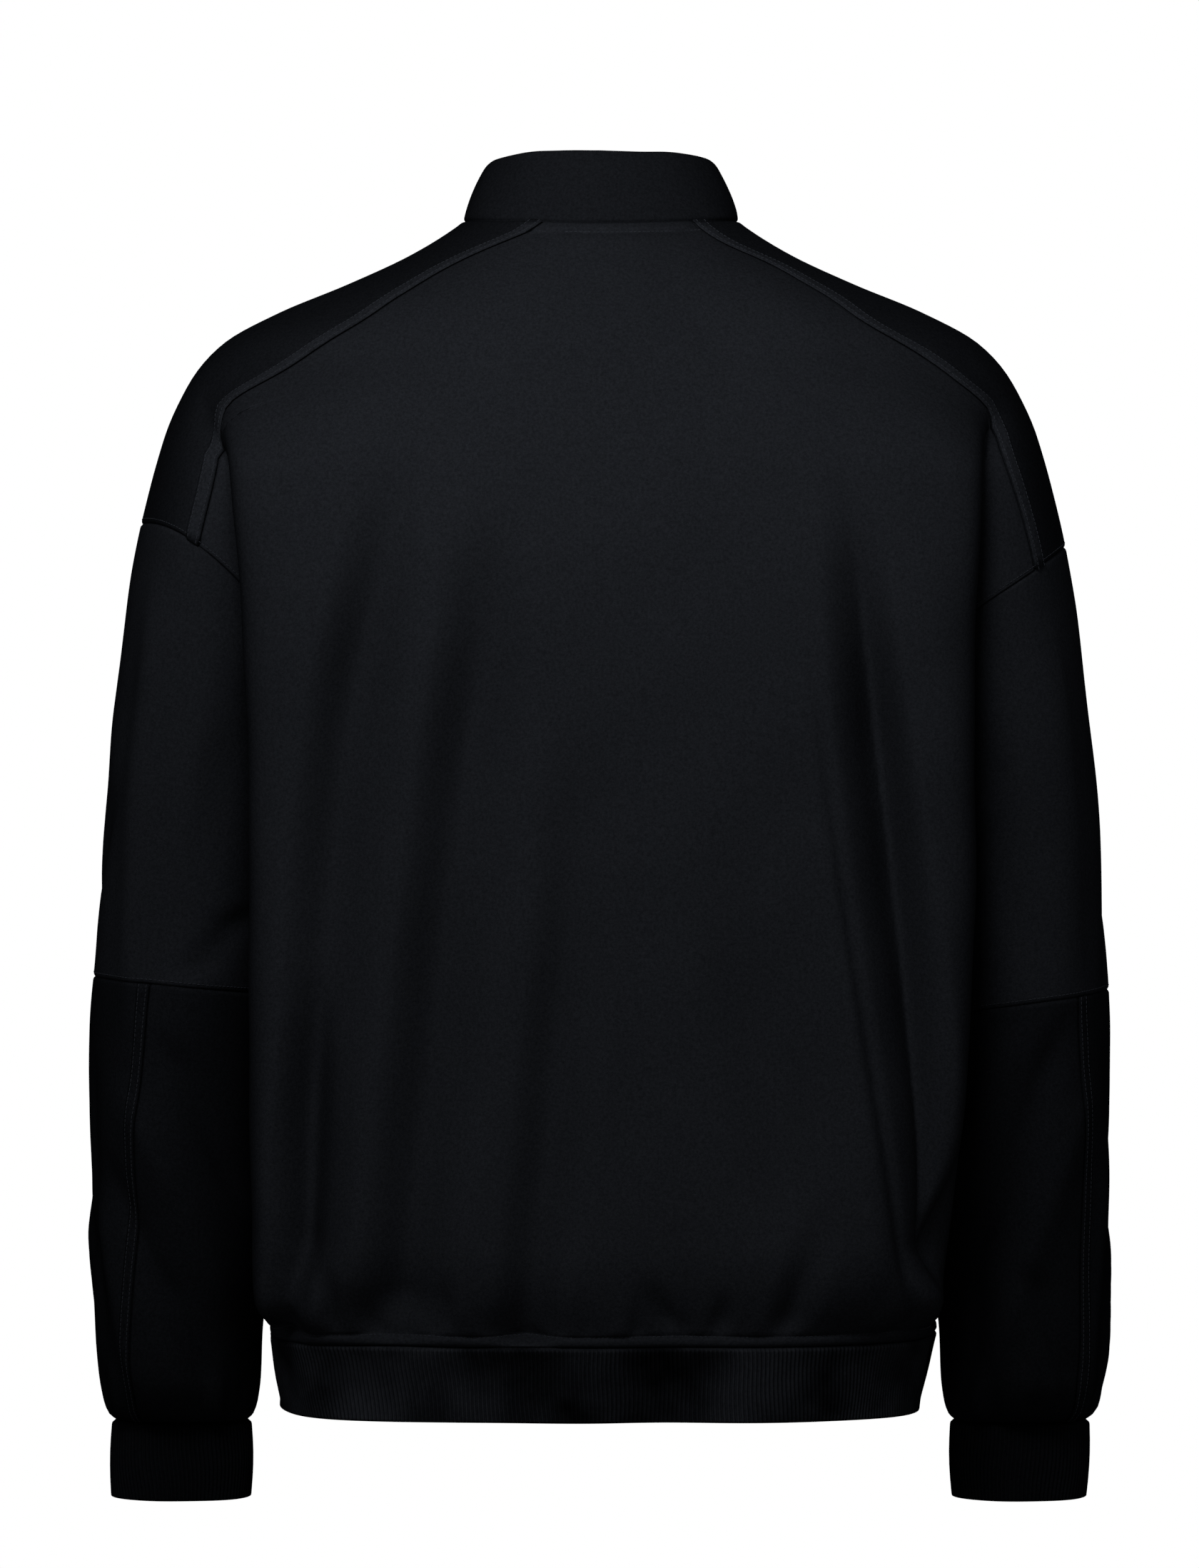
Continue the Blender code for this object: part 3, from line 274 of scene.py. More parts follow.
# How far the back and the front stand from the middle at the centre line.
CENTRE = table(
    "z back front",
    (10, 54, 46),
    (0, 61, 52),
    (-20, 76, 59),
    (-37, 87, 65),
    (-53, 96, 72),
    (-70, 104, 81),
    (-86, 110, 91),
    (-102, 116, 100),
    (-125, 122.5, 111),
    (-150, 128, 119),
    (-200, 134, 129),
    (-250, 136, 134),
    (-350, 134, 138),
    (-450, 133, 138),
    (-560, 138, 139),
    (-610, 141, 140),
    (-640, 141, 139),
)

# The rounded fold at each side of the body, which laps the sleeve.
SIDE_FOLD = table(
    "z left right front back_y front_y",
    (-95, 214, 218, 212, 68, 64),
    (-125, 211, 216, 208, 84, 82),
    (-150, 208, 215, 205, 93, 92),
    (-200, 203, 211.5, 203, 98, 99),
    (-250, 199.5, 209.5, 203, 95, 100),
    (-350, 196.5, 207.5, 203, 90, 101),
    (-450, 195.5, 205.5, 201, 85, 99),
    (-520, 195, 204, 199, 82, 96),
    (-600, 194, 196, 194, 80, 92),
    (-640, 193.5, 194, 190, 78, 88),
)

# The sleeve tube: its inner side, half its depth, its middle, how far round the arm its cloth reaches before
# it meets the body, and the room between it and the body at the fold and at the side.
SLEEVE = table(
    "z inner depth middle wrap fold_room side_room",
    (-95, 175.5, 60, 0, 78, 0, 0),
    (-125, 173, 72, 0, 92, 1.5, 0),
    (-150, 172, 79, -0.5, 104, 3, 0),
    (-180, 172.5, 83, -1, 117, 5, 0),
    (-205, 170, 84, -1.5, 129, 5, 0),
    (-222, 169.5, 84.3, -2, 144, 5, 0),
    (-240, 169.5, 84.3, -2.5, 162, 5, 0),
    (-250, 170, 84, -3, 180, 5, 0),
    (-258, 171, 83.8, -3.2, 180, 5, 3),
    (-275, 173, 83.3, -4, 180, 5, 6),
    (-300, 175, 82.5, -5, 180, 5, 7),
    (-400, 181, 78, -10, 180, 5, 7),
    (-500, 185, 72, -15, 180, 5, 7),
    (-600, 191, 65, -21, 180, 6, 7),
    (-640, 195.5, 61, -24, 180, 7, 7),
    (-665, 196.5, 56, -26, 180, 7, 7),
    (-680, 198.5, 47, -27, 180, 7, 7),
    (-686, 200.5, 40, -27, 180, 7, 7),
    (-690, 203, 31.5, -27, 180, 7, 7),
    (-735, 203.5, 30, -29, 180, 7, 7),
)

# How much of the way the body has closed in from its blouse to the rib seam.
GATHER = table(
    "z back side",
    (-565, 0, 0),
    (-585, 0.08, 0),
    (-600, 0.25, 0.02),
    (-614, 0.52, 0.08),
    (-624, 0.78, 0.3),
    (-630.5, 0.93, 0.75),
    (-637, 1, 1),
)


# The back edge of each shoulder panel, where its tape lies, as far as it can be seen from behind.
BACK_SEAM = {
    1: table(
        "z x",
        (-3, 29),
        (-12, 45),
        (-20, 66),
        (-30, 86),
        (-47, 114),
        (-60, 133),
        (-78, 161),
        (-92, 182),
        (-100, 197),
        (-106, 208),
        (-113, 214),
        (-128, 215),
        (-145, 217),
        (-190, 227),
        (-215, 231),
    ),
    -1: table(
        "z x",
        (-3, 50),
        (-18, 72),
        (-25, 91),
        (-33, 105),
        (-47, 127),
        (-64, 150),
        (-76, 174),
        (-89, 193),
        (-97, 203),
        (-105, 214),
        (-113, 221),
        (-126, 224),
        (-145, 230),
        (-167, 237),
        (-198, 245),
        (-215, 248),
    ),
}

# The front edge of each shoulder panel.
FRONT_SEAM = table(
    "z x",
    (-6, 77),
    (-20, 97),
    (-34, 113),
    (-50, 131),
    (-64, 147),
    (-82, 169),
    (-97, 189),
    (-107, 204),
    (-118, 214.5),
    (-135, 222),
    (-160, 227),
    (-190, 233),
    (-215, 237),
)

# The rise of the collar from the neck seam, by the turn round the neck from the centre back.
COLLAR = table(
    "turn inward forward rise",
    (180, 5, -9, 46),
    (168, 5, -8, 43),
    (150, 6, -4, 39),
    (134, 8, 0, 37),
    (118, 9, 5, 34),
    (104, 10, 9, 31),
    (88, 11, 11, 29),
    (60, 12, 13, 37),
    (30, 11, 12, 42),
    (0, 9, 12, 43),
)


def eased(at, places, values):
    """A smooth curve through the values that never passes them (monotone cubic)."""
    places = np.asarray(places, float)
    values = np.asarray(values, float)
    step = np.diff(places)
    slope = np.diff(values) / step
    tangent = np.zeros(len(values))
    same_way = slope[1:] * slope[:-1] > 0
    sum_of_two = np.where(same_way, slope[1:] + slope[:-1], 1.0)
    tangent[1:-1] = np.where(same_way, 2 * slope[1:] * slope[:-1] / sum_of_two, 0.0)
    tangent[0] = slope[0]
    tangent[-1] = slope[-1]
    at = np.clip(at, places[0], places[-1])
    k = np.clip(np.searchsorted(places, at, "right") - 1, 0, len(step) - 1)
    s = (at - places[k]) / step[k]
    ends = (1 + 2 * s) * (1 - s) ** 2 * values[k] + s * s * (3 - 2 * s) * values[k + 1]
    return ends + step[k] * (s * (1 - s) ** 2 * tangent[k] + s * s * (s - 1) * tangent[k + 1])


def read(sizes, column, z):
    return eased(z, sizes["z"], sizes[column])


def smooth(x):
    x = np.clip(x, 0.0, 1.0)
    return x * x * (3 - 2 * x)


def between(first, last, share):
    return first + (last - first) * share


def unit(vectors):
    return vectors / np.maximum(np.linalg.norm(vectors, axis=-1, keepdims=True), 1e-9)


def run_along(points):
    """Distances along lines of points, from the first point of each."""
    steps = np.linalg.norm(np.diff(points, axis=0), axis=-1)
    return np.concatenate([np.zeros((1, *steps.shape[1:])), np.cumsum(steps, 0)])


def points_at(marks, run, points):
    """Points at given distances along a line of points."""
    return np.stack([np.interp(marks, run, points[:, k]) for k in range(3)], -1)


def as_arrays(z, place):
    return np.broadcast_arrays(np.asarray(z, float), np.asarray(place, float))


def unit_oval(turn, power):
    """A point of a unit superellipse, as (across, along), for a turn in degrees from the centre line."""
    across, ahead = np.sin(np.radians(turn)), np.cos(np.radians(turn))
    reach = (np.abs(across) ** power + np.abs(ahead) ** power) ** (-1 / power)
    return reach * across, reach * ahead


def oval_turn(station):
    return eased(station, (0, 1, 2, 3), (0, 56, 67, 90))


def hem_flare(y):
    """How much wider than the rest of the rib its upper edge is, behind and at the sides."""
    return HEM_FLARE * smooth((y + HEM_FLARE_END) / HEM_FLARE_END)


def body_plan(z, station, front, side):
    """The section of body and sleeve together, as (across, along) from the centre towards its face."""
    face = np.where(front, read(CENTRE, "front", z), read(CENTRE, "back", z))
    width = read(OUTLINE, "half_width", z)
    across, ahead = unit_oval(oval_turn(station), eased(z, *NECK_POWER))
    oval = np.array([width * across, face * ahead])

    inner, depth, lead, wrap, room = (
        read(SLEEVE, column, z) for column in ("inner", "depth", "middle", "wrap", "fold_room")
    )
    lead = np.where(front, -lead, lead)
    wrap = np.radians(wrap)
    middle, reach = (width + inner) / 2, (width - inner) / 2
    fold_x = np.where(front, read(SIDE_FOLD, "front", z), read(SIDE_FOLD, SIDES[side], z))
    fold_y = np.where(front, read(SIDE_FOLD, "front_y", z), read(SIDE_FOLD, "back_y", z))

    across, ahead = unit_oval(90 * np.clip(station, 0, 1), BODY_POWER)
    panel = np.array([fold_x * across, between(fold_y, face, ahead)])

    s = np.clip(station - 1, 0, 1)
    clear = room * (1 - s**2) + read(SLEEVE, "side_room", z) * s**2
    start = np.arccos(np.clip((fold_x - middle) / (reach + room), -1, 1))
    turn = between(start, wrap, s**1.5)
    rise = (fold_y - lead - (depth + room) * np.sin(start)) * (1 - s) ** 2
    lap = np.array([middle + (reach + clear) * np.cos(turn), lead + (depth + clear) * np.sin(turn) + rise])

    turn = wrap * (3 - station)
    arm = np.array([middle + reach * np.cos(turn), lead + depth * np.sin(turn)])

    split = np.where(station <= 1, panel, np.where(station <= 2, lap, arm))
    worn = between(oval, split, smooth((SHOULDER_Z - z) / (SHOULDER_Z - SLEEVE_SPLIT_Z)))

    hem_face = np.where(front, HEM_FRONT, HEM_BACK)
    across, ahead = unit_oval(eased(station, (0, 1, 2), (0, 60, 90)), HEM_POWER)
    flare = hem_flare(np.where(front, -hem_face * ahead, 0))
    hem = np.array([(HEM_HALF_WIDTH + flare) * across, (hem_face + np.where(front, 0, flare)) * ahead])
    gathered = between(read(GATHER, "back", z), read(GATHER, "side", z), smooth((station - 0.5) / 0.4))
    return between(worn, hem, np.where(station <= 2, gathered, 0.0))


def body_form(z, t, side):
    """The smooth outer surface of body and shoulder, without folds, in millimetres."""
    z, t = as_arrays(z, t)
    front = t > 3
    across, ahead = body_plan(z, np.where(front, 6 - t, t), front, side)
    return np.stack([side * across, np.where(front, -ahead, ahead), z], -1)


def sleeve_form(z, turn, side):
    """The smooth outer surface of a sleeve, without folds. Turn is in degrees from the outermost line."""
    z, turn = as_arrays(z, turn)
    outer = read(OUTLINE, "half_width", z)
    inner = read(SLEEVE, "inner", z)
    across = (outer + inner) / 2 + (outer - inner) / 2 * np.cos(np.radians(turn))
    y = read(SLEEVE, "middle", z) + read(SLEEVE, "depth", z) * np.sin(np.radians(turn))
    return np.stack([side * across, y, z], -1)


def drop_seam_z(turn, side):
    """Height of the dropped shoulder seam, from the outermost line to the underarm."""
    share = ((1 - np.cos(np.radians(turn))) / 2) ** DROP_SEAM_POWER[side]
    return between(DROP_SEAM_Z[side], UNDERARM_Z, share)


def elbow_z(turn, side):
    """Height of the seam between upper and lower sleeve, a plane cut through the tube."""
    across = sleeve_form(ELBOW_Z[side], turn, 1)[..., 0]
    return ELBOW_Z[side] + ELBOW_SLOPE[side] * (across - ELBOW_MIDDLE)


def neck_z(t):
    """Height of the neck seam at a station."""
    turn = oval_turn(np.where(t > 3, 6 - t, t)) / 90
    back = NECK_BACK_Z * (1 - turn**1.7) ** 2
    front = NECK_FRONT_Z * (1 - turn**NECK_FRONT_ROUND) ** NECK_FRONT_POWER
    return np.where(t > 3, front, back)


def sleeve_turn(z, t):
    """The turn round the arm that a station of the body stands at."""
    return (3 - t) * read(SLEEVE, "wrap", z)


def station_at(z, x, side, half):
    """The outermost station of one half of a section whose distance from the centre line is x."""
    t = np.linspace(3, 0 if half == "back" else 6, 601)
    across = np.abs(body_form(z, t, side)[..., 0])
    inside = np.flatnonzero(across < x)
    first = inside[0] if len(inside) else len(t) - 1
    if first == 0:
        return t[0]
    share = (across[first - 1] - x) / max(across[first - 1] - across[first], 1e-9)
    return between(t[first - 1], t[first], share)


def seam_curve(seam, side, half):
    """Heights and stations along an edge of a shoulder panel, from the neck to the drop seam."""
    heights = np.arange(2.0, -216.0, -2.0)
    stations = np.array([station_at(z, read(seam, "x", z), side, half) for z in heights])
    window = np.hanning(11)[1:-1]
    stations = np.convolve(np.pad(stations, 4, "edge"), window / window.sum(), "valid")

    def crossing(level, start):
        """The height where the edge first passes under a level, looked for below start."""
        above = heights - level
        k = np.flatnonzero((above < 0) & (heights < start))[0]
        return between(heights[k - 1], heights[k], above[k - 1] / (above[k - 1] - above[k]))

    drop = drop_seam_z(sleeve_turn(heights, stations), side)
    z = np.linspace(crossing(neck_z(stations), heights[0] + 1), crossing(drop, SLEEVE_SPLIT_Z), SEAM_PLACES)
    return z, np.interp(-z, -heights, stations)


def even(points, count, ends=(0.0, 1.0)):
    """Places 0 to 1 along a line of points that part it evenly by length, between two shares of it."""
    run = run_along(points)
    return np.interp(np.linspace(*ends, count) * run[-1], run, np.linspace(0, 1, len(points)))


def along(values, places):
    return np.interp(places, np.linspace(0, 1, len(values)), values)


def underarm_edge(corner, side):
    """The drop seam from a shoulder panel's corner to the underarm, as rows of height and station."""
    turns = np.linspace(sleeve_turn(*corner), 180, 60)
    points = sleeve_form(drop_seam_z(turns, side), turns, side)
    turns = along(turns, even(points, UNDERARM_ROWS + 1)[1:])
    heights = drop_seam_z(turns, side)
    return np.stack([heights, 3 - turns / read(SLEEVE, "wrap", heights)], 1)


@functools.lru_cache(maxsize=None)
def panel_edges(side, half):
    """The outer edge of half a body panel in three stretches: shoulder panel, drop seam and side seam."""
    seam = BACK_SEAM[side] if half == "back" else FRONT_SEAM
    z, t = seam_curve(seam, side, half)
    places = even(body_form(z, t, side), SHOULDER_ROWS + 1)
    shoulder = np.stack([along(z, places), along(t, places)], 1)
    corner = shoulder[-1] if half == "back" else (shoulder[-1][0], 6 - shoulder[-1][1])
    armhole = underarm_edge(corner, side)
    heights = between(UNDERARM_Z, HEM_SEAM_Z, SIDE_SHARES)
    beside = np.stack([heights, np.full(len(heights), 2.0)], 1)
    if half == "front":
        armhole[:, 1] = 6 - armhole[:, 1]
        beside[:, 1] = 6 - beside[:, 1]
    return shoulder, armhole, beside


def row_stations(z, last, side, half, columns):
    """Stations of a panel's columns at one height, from the centre line to the panel's edge.

    They part the section evenly near the neck. Below the shoulder one column keeps to the side fold and one
    to the valley, where the panel goes past it.
    """
    if half == "back":
        first, fold, valley = 0.0, 1.0, min(2.0, last - ARM_LEAST)
    else:
        first, fold, valley = station_at(z, ZIP_HALF_GAP, side, half), 5.0, max(4.0, last + ARM_LEAST)

    def spread(end, count):
        t = np.linspace(first, end, 160)
        points = body_form(z, t, side)
        if half == "back":
            return along(t, even(points, count))
        margin = (ZIP_TAPE_WIDTH - ZIP_HALF_GAP) / run_along(points)[-1]
        return np.concatenate([t[:1], along(t, even(points, count - 1, (margin, 1.0)))])

    plain = spread(last, columns)
    lap = np.linspace(fold, valley, LAP_COLUMNS + 1)[1:]
    arm = np.linspace(valley, last, ARM_COLUMNS + 1)[1:]
    folded = np.concatenate([spread(fold, columns - len(lap) - len(arm)), lap, arm])
    share = smooth((FOLD_COLUMN_TOP_Z - z) / (FOLD_COLUMN_TOP_Z - FOLD_COLUMN_LOW_Z))
    return between(plain, folded, share)


@functools.lru_cache(maxsize=None)
def half_panel(side, half, columns):
    """Heights and stations of half a body panel, in rows from the neck down and columns from the centre."""
    edges = np.concatenate(panel_edges(side, half))
    edge_z = edges[:, 0]
    fine_z = np.linspace(edge_z[0], edge_z[-1], FINE_PLACES)
    fine_t = np.interp(-fine_z, -edge_z, edges[:, 1])
    stations = np.array([row_stations(z, t, side, half, columns) for z, t in zip(fine_z, fine_t)])

    def at_height(z):
        return np.stack([np.interp(-z[..., c], -fine_z, stations[:, c]) for c in range(columns)], -1)

    top = np.full(columns, edge_z[0])
    for _ in range(12):
        top = neck_z(at_height(top))
    upper = SHOULDER_ROWS + UNDERARM_ROWS
    rows = np.arange(len(edge_z))[:, None]
    edge_share = ((edge_z - edge_z[0]) / (UNDERARM_Z - edge_z[0]))[:, None]
    centre_share = np.where(rows <= upper, rows / upper, edge_share)
    share = between(centre_share, edge_share, smooth(np.linspace(0, 1, columns)))
    z = np.where(rows <= upper, between(top, UNDERARM_Z, share), edge_z[:, None])
    t = at_height(z)
    z[0] = top
    z[:, -1], t[:, -1] = edge_z, edges[:, 1]
    return z, t


@functools.lru_cache(maxsize=None)
def shoulder_grid(side):
    """Heights and stations of a shoulder panel, in rows from the neck to the drop seam."""
    back, front = (panel_edges(side, half)[0] for half in ("back", "front"))
    ridge = np.linspace(0, DROP_SEAM_Z[side], 80)
    ridge = along(ridge, even(body_form(ridge, 3.0, side), SHOULDER_ROWS + 1))
    heights, stations = [], []
    for k in range(SHOULDER_ROWS + 1):
        t = np.linspace(back[k, 1], front[k, 1], 241)
        past_back = np.clip((3 - t) / (3 - back[k, 1]), 0, 1)
        past_front = np.clip((t - 3) / (front[k, 1] - 3), 0, 1)
        z = ridge[k] + (back[k, 0] - ridge[k]) * past_back**2 + (front[k, 0] - ridge[k]) * past_front**2
        if k == 0:
            z = neck_z(t)
        if k == SHOULDER_ROWS:
            for _ in range(8):
                z = drop_seam_z(sleeve_turn(z, t), side)
        run = run_along(body_form(z, t, side))
        middle = np.interp(3, t, run)
        behind = np.linspace(SHOULDER_TAPE_WIDTH, middle, SHOULDER_BACK_COLUMNS)
        ahead = np.linspace(middle, run[-1], SHOULDER_FRONT_COLUMNS)[1:]
        marks = np.concatenate([[0], behind, ahead])
        heights.append(np.interp(marks, run, z))
        stations.append(np.interp(marks, run, t))
    return np.array(heights), np.array(stations)


def sleeve_turns(side):
    """Turns of the upper sleeve's columns, which meet the points of the pieces above it at the drop seam."""
    z, t = shoulder_grid(side)
    back, front = (panel_edges(side, half)[1] for half in ("back", "front"))
    return np.concatenate([sleeve_turn(*back.T)[::-1], sleeve_turn(z[-1], t[-1]), sleeve_turn(*front.T)])


def upper_sleeve_grid(side):
    turn = sleeve_turns(side)
    share = np.linspace(0, 1, UPPER_SLEEVE_ROWS)[:, None]
    z = between(drop_seam_z(turn, side), elbow_z(turn, side), share)
    return np.stack([z, np.broadcast_to(turn, z.shape)], -1)


def lower_sleeve_grid(side, name):
    """A lower sleeve piece, in rows from elbow to cuff. The outer one starts with its tape's width."""
    share = LOWER_SLEEVE_SHARES[:, None]
    marks = np.linspace(0, 1, LOWER_SLEEVE_COLUMNS[name])
    start = between(*LOWER_BACK_SEAM[side], share)
    if name == "outer":
        rest = between(start - SLEEVE_TAPE_TURN, -LOWER_FRONT_SEAM, marks)
        turn = np.concatenate([start, rest], 1)
    else:
        turn = between(start, 360 - LOWER_FRONT_SEAM, marks)
    return np.stack([between(elbow_z(turn, side), CUFF_SEAM_Z, share), turn], -1)


def hem_outline():
    """The body's lower edge from the zip on the wearer's left, round the back, to the zip on the right."""
    parts = []
    for side in SIDES:
        front = np.linspace(station_at(HEM_SEAM_Z, ZIP_HALF_GAP, side, "front"), 4, 200)
        back = np.linspace(2, 0, 300)[1:]
        parts.append(body_form(HEM_SEAM_Z, np.concatenate([front, back]), side)[::side])
    return np.concatenate([parts[0], parts[1][1:]])


def collar_points(base, shares):
    """Rows of collar points that rise from points on the neck seam."""
    away = unit((base - (0, COLLAR_CENTRE_Y, 0)) * (1, 1, 0))
    turn = np.degrees(np.arctan2(np.abs(base[:, 0]), base[:, 1] - COLLAR_CENTRE_Y))
    inward, forward, rise = (eased(turn, COLLAR["turn"], values) for values in list(COLLAR.values())[1:])
    move = np.stack([-away[:, 0] * inward, -away[:, 1] * inward - forward, rise], 1)
    rows = [base + move * share + away * COLLAR_BULGE * 4 * share * (1 - share) for share in shares]
    return np.array(rows)


def neck_points():
    """Points of the neck seam, from the zip on the wearer's right, round the back, to the zip on the left."""
    halves = {}
    for side in SIDES:
        pieces = (
            half_panel(side, "front", FRONT_COLUMNS),
            shoulder_grid(side),
            half_panel(side, "back", BACK_COLUMNS),
        )
        front, shoulder, back = (body_form(z[0], t[0], side) for z, t in pieces)
        halves[side] = np.concatenate([front, shoulder[-2::-1], back[-2::-1]])
    return np.concatenate([halves[-1], halves[1][-2::-1]])


# The profile of a creased trough, and the low bank beside each trough.
TROUGH_POWER = 1.7
BANK_PLACE = 1.9
BANK_SHARE = 0.12

# Troughs of the back, each through three places, with x positive on the wearer's left. The wall towards the
# centre line is as wide as in_top, in_mid and in_low say and the other as wide as out. One that is soft at 0
# is creased along its bottom, and at 1 it is rounded.
BACK_TROUGHS = table(
    "side x_top z_top x_mid z_mid x_low z_low depth in_top in_mid in_low out soft fade_top fade_low",
    (1, 105, -112, 147, -335, 171, -625, 15.0, 22, 42, 30, 28, 0.95, 150, 50),
    (1, 54, -150, 85, -390, 113, -640, 12.5, 26, 44, 30, 29, 0.95, 130, 30),
    (1, 4, -262, 22, -450, 42, -640, 9.0, 26, 32, 20, 24, 0.95, 220, 10),
    (1, 160, -420, 172, -520, 178, -640, 10.0, 14, 24, 18, 15, 0.8, 90, 14),
    (1, 158, -585, 153, -610, 148, -632, 4.0, 10, 12, 10, 12, 0.7, 30, 8),
    (1, 84, -592, 88, -612, 94, -633, 3.0, 10, 12, 9, 10, 0.7, 25, 8),
    (-1, 134, -132, 170, -390, 200, -616, 22.0, 16, 39, 44, 20, 0.6, 170, 34),
    (-1, 115, -240, 137, -392, 177, -632, 3.4, 6, 6, 6, 9, 0.0, 90, 10),
    (-1, 62, -330, 84, -450, 112, -600, 4.5, 20, 32, 26, 32, 1.0, 130, 60),
    (-1, 10, -300, 16, -420, 12, -570, 2.2, 26, 32, 26, 32, 1.0, 110, 90),
    (-1, 24, -592, 32, -612, 42, -633, 3.4, 12, 14, 10, 12, 0.7, 30, 10),
    (-1, 128, -545, 116, -590, 100, -632, 5.0, 14, 18, 12, 18, 0.8, 60, 12),
    (-1, 70, -602, 68, -616, 64, -633, 2.4, 8, 10, 8, 10, 0.7, 20, 10),
)

# Troughs of the fronts, made up to match the back.
FRONT_TROUGHS = table(
    "side x_top z_top x_mid z_mid x_low z_low depth in_top in_mid in_low out soft fade_top fade_low",
    (1, 122, -140, 150, -310, 180, -560, 9.0, 16, 26, 20, 12, 0.4, 110, 90),
    (1, 68, -200, 86, -350, 108, -602, 6.5, 14, 24, 26, 16, 0.7, 130, 50),
    (1, 32, -340, 38, -480, 54, -628, 4.5, 14, 18, 12, 16, 1.0, 140, 20),
    (1, 150, -570, 142, -603, 134, -632, 3.8, 10, 13, 10, 11, 0.7, 30, 12),
    (-1, 118, -150, 146, -320, 176, -580, 8.0, 18, 24, 18, 16, 0.6, 120, 80),
    (-1, 66, -225, 84, -380, 98, -600, 7.0, 14, 26, 24, 14, 0.6, 140, 50),
    (-1, 30, -310, 42, -470, 60, -628, 4.5, 14, 18, 12, 16, 1.0, 150, 20),
    (-1, 148, -560, 138, -598, 130, -631, 3.8, 10, 13, 10, 11, 0.7, 30, 14),
)

# Folds of each sleeve, which run down and round it: a turn and height for each end, and their lift.
SLEEVE_FOLDS = table(
    "side turn_top z_top turn_low z_low lift reach power",
    (1, 50, -215, 57, -450, 3.2, 9, 1.8),
    (1, 76, -225, 74, -452, -3.0, 12, 1.8),
    (1, 104, -300, 88, -420, -2.4, 14, 2.0),
    (1, 128, -395, 96, -432, -3.0, 12, 1.8),
    (1, 84, -470, 132, -560, -4.2, 12, 1.7),
    (1, 58, -500, 128, -625, 4.2, 14, 1.6),
    (1, 44, -540, 112, -668, -4.4, 13, 1.6),
    (1, 32, -560, 60, -668, 3.2, 9, 1.6),
    (1, 22, -480, 30, -640, -2.4, 9, 1.8),
    (1, 84, -600, 118, -672, -2.6, 11, 1.6),
    (-1, 52, -240, 58, -440, 2.6, 11, 1.8),
    (-1, 100, -300, 84, -430, -2.6, 14, 2.0),
    (-1, 118, -345, 140, -400, -4.6, 13, 1.7),
    (-1, 66, -462, 128, -600, -5.2, 11, 1.6),
    (-1, 50, -500, 112, -650, 3.8, 12, 1.7),
    (-1, 100, -470, 146, -560, 3.4, 12, 1.7),
    (-1, 88, -600, 60, -668, -3.8, 10, 1.7),
    (-1, 30, -545, 42, -672, 3.2, 8, 1.6),
    (-1, 124, -600, 134, -672, -3.4, 11, 1.6),
    (1, -56, -230, -70, -440, 3.0, 12, 1.8),
    (1, -92, -260, -96, -430, -3.0, 14, 1.8),
    (1, -130, -450, -72, -600, 3.6, 12, 1.7),
    (1, -128, -520, -60, -655, -4.0, 13, 1.6),
    (1, 10, -300, 4, -440, -1.6, 14, 2.0),
    (1, 28, -330, -26, -452, -3.4, 12, 1.8),
    (1, -20, -470, 16, -600, -3.6, 12, 1.7),
    (1, 6, -560, -34, -668, 3.0, 10, 1.7),
    (-1, -60, -250, -66, -440, 3.0, 12, 1.8),
    (-1, -98, -270, -92, -440, -3.0, 14, 1.8),
    (-1, -124, -460, -78, -590, 3.6, 12, 1.7),
    (-1, -132, -530, -62, -660, -4.0, 13, 1.6),
    (-1, 8, -480, 2, -640, -2.0, 14, 2.0),
    (-1, -24, -320, 22, -448, -3.2, 12, 1.8),
    (-1, 20, -480, -22, -610, -3.4, 12, 1.7),
    (-1, -10, -570, 18, -668, 2.8, 10, 1.7),
)

# Short puckers that the gathers make above the hem's and the cuffs' seams: the length of each wave, in
# millimetres at the hem and in degrees at the cuff, its height and phase.
HEM_PUCKERS = table("wave height phase", (52, 0.9, 0.4), (31, 0.8, 2.1), (19, 0.55, 4.0), (12.5, 0.3, 1.2))
CUFF_PUCKERS = table("wave height phase", (46, 1.3, 0.9), (27, 1.2, 2.6), (17, 0.7, 5.1))

# How the hem and its lower edge swing in and out: the length of each wave over two pi, its height and phase.
HEM_WAVES = table("wave height phase", (24, 1.5, 0.5), (14.5, 1.0, 2.0), (61, 0.7, 1.0))
HEM_EDGE_WAVES = table("wave height phase", (19, 1.8, 0.6), (31, 1.0, 0.0))

# Slow, low waves all over the cloth, each with the way that it runs in degrees.
WAVES = table(
    "wave height way phase",
    (173, 0.55, 20, 5.1),
    (118, 0.45, -35, 1.9),
    (71, 0.3, 50, 3.3),
    (43, 0.15, -15, 0.4),
)


def rows_of(sizes, side=None):
    """The rows of a table as dictionaries, for one side where the table has one."""
    for values in zip(*sizes.values()):
        row = dict(zip(sizes, values))
        if side is None or row["side"] == side:
            yield row


def crease(distance, reach, power=2.0):
    """A trough's profile, 1 at its bottom."""
    return np.exp(-(np.abs(distance / reach) ** power))


def ripple(waves, place, seed=0.0):
    """The sum of a table's waves at a place."""
    return sum(row["height"] * np.sin(place / row["wave"] + row["phase"] + seed) for row in rows_of(waves))


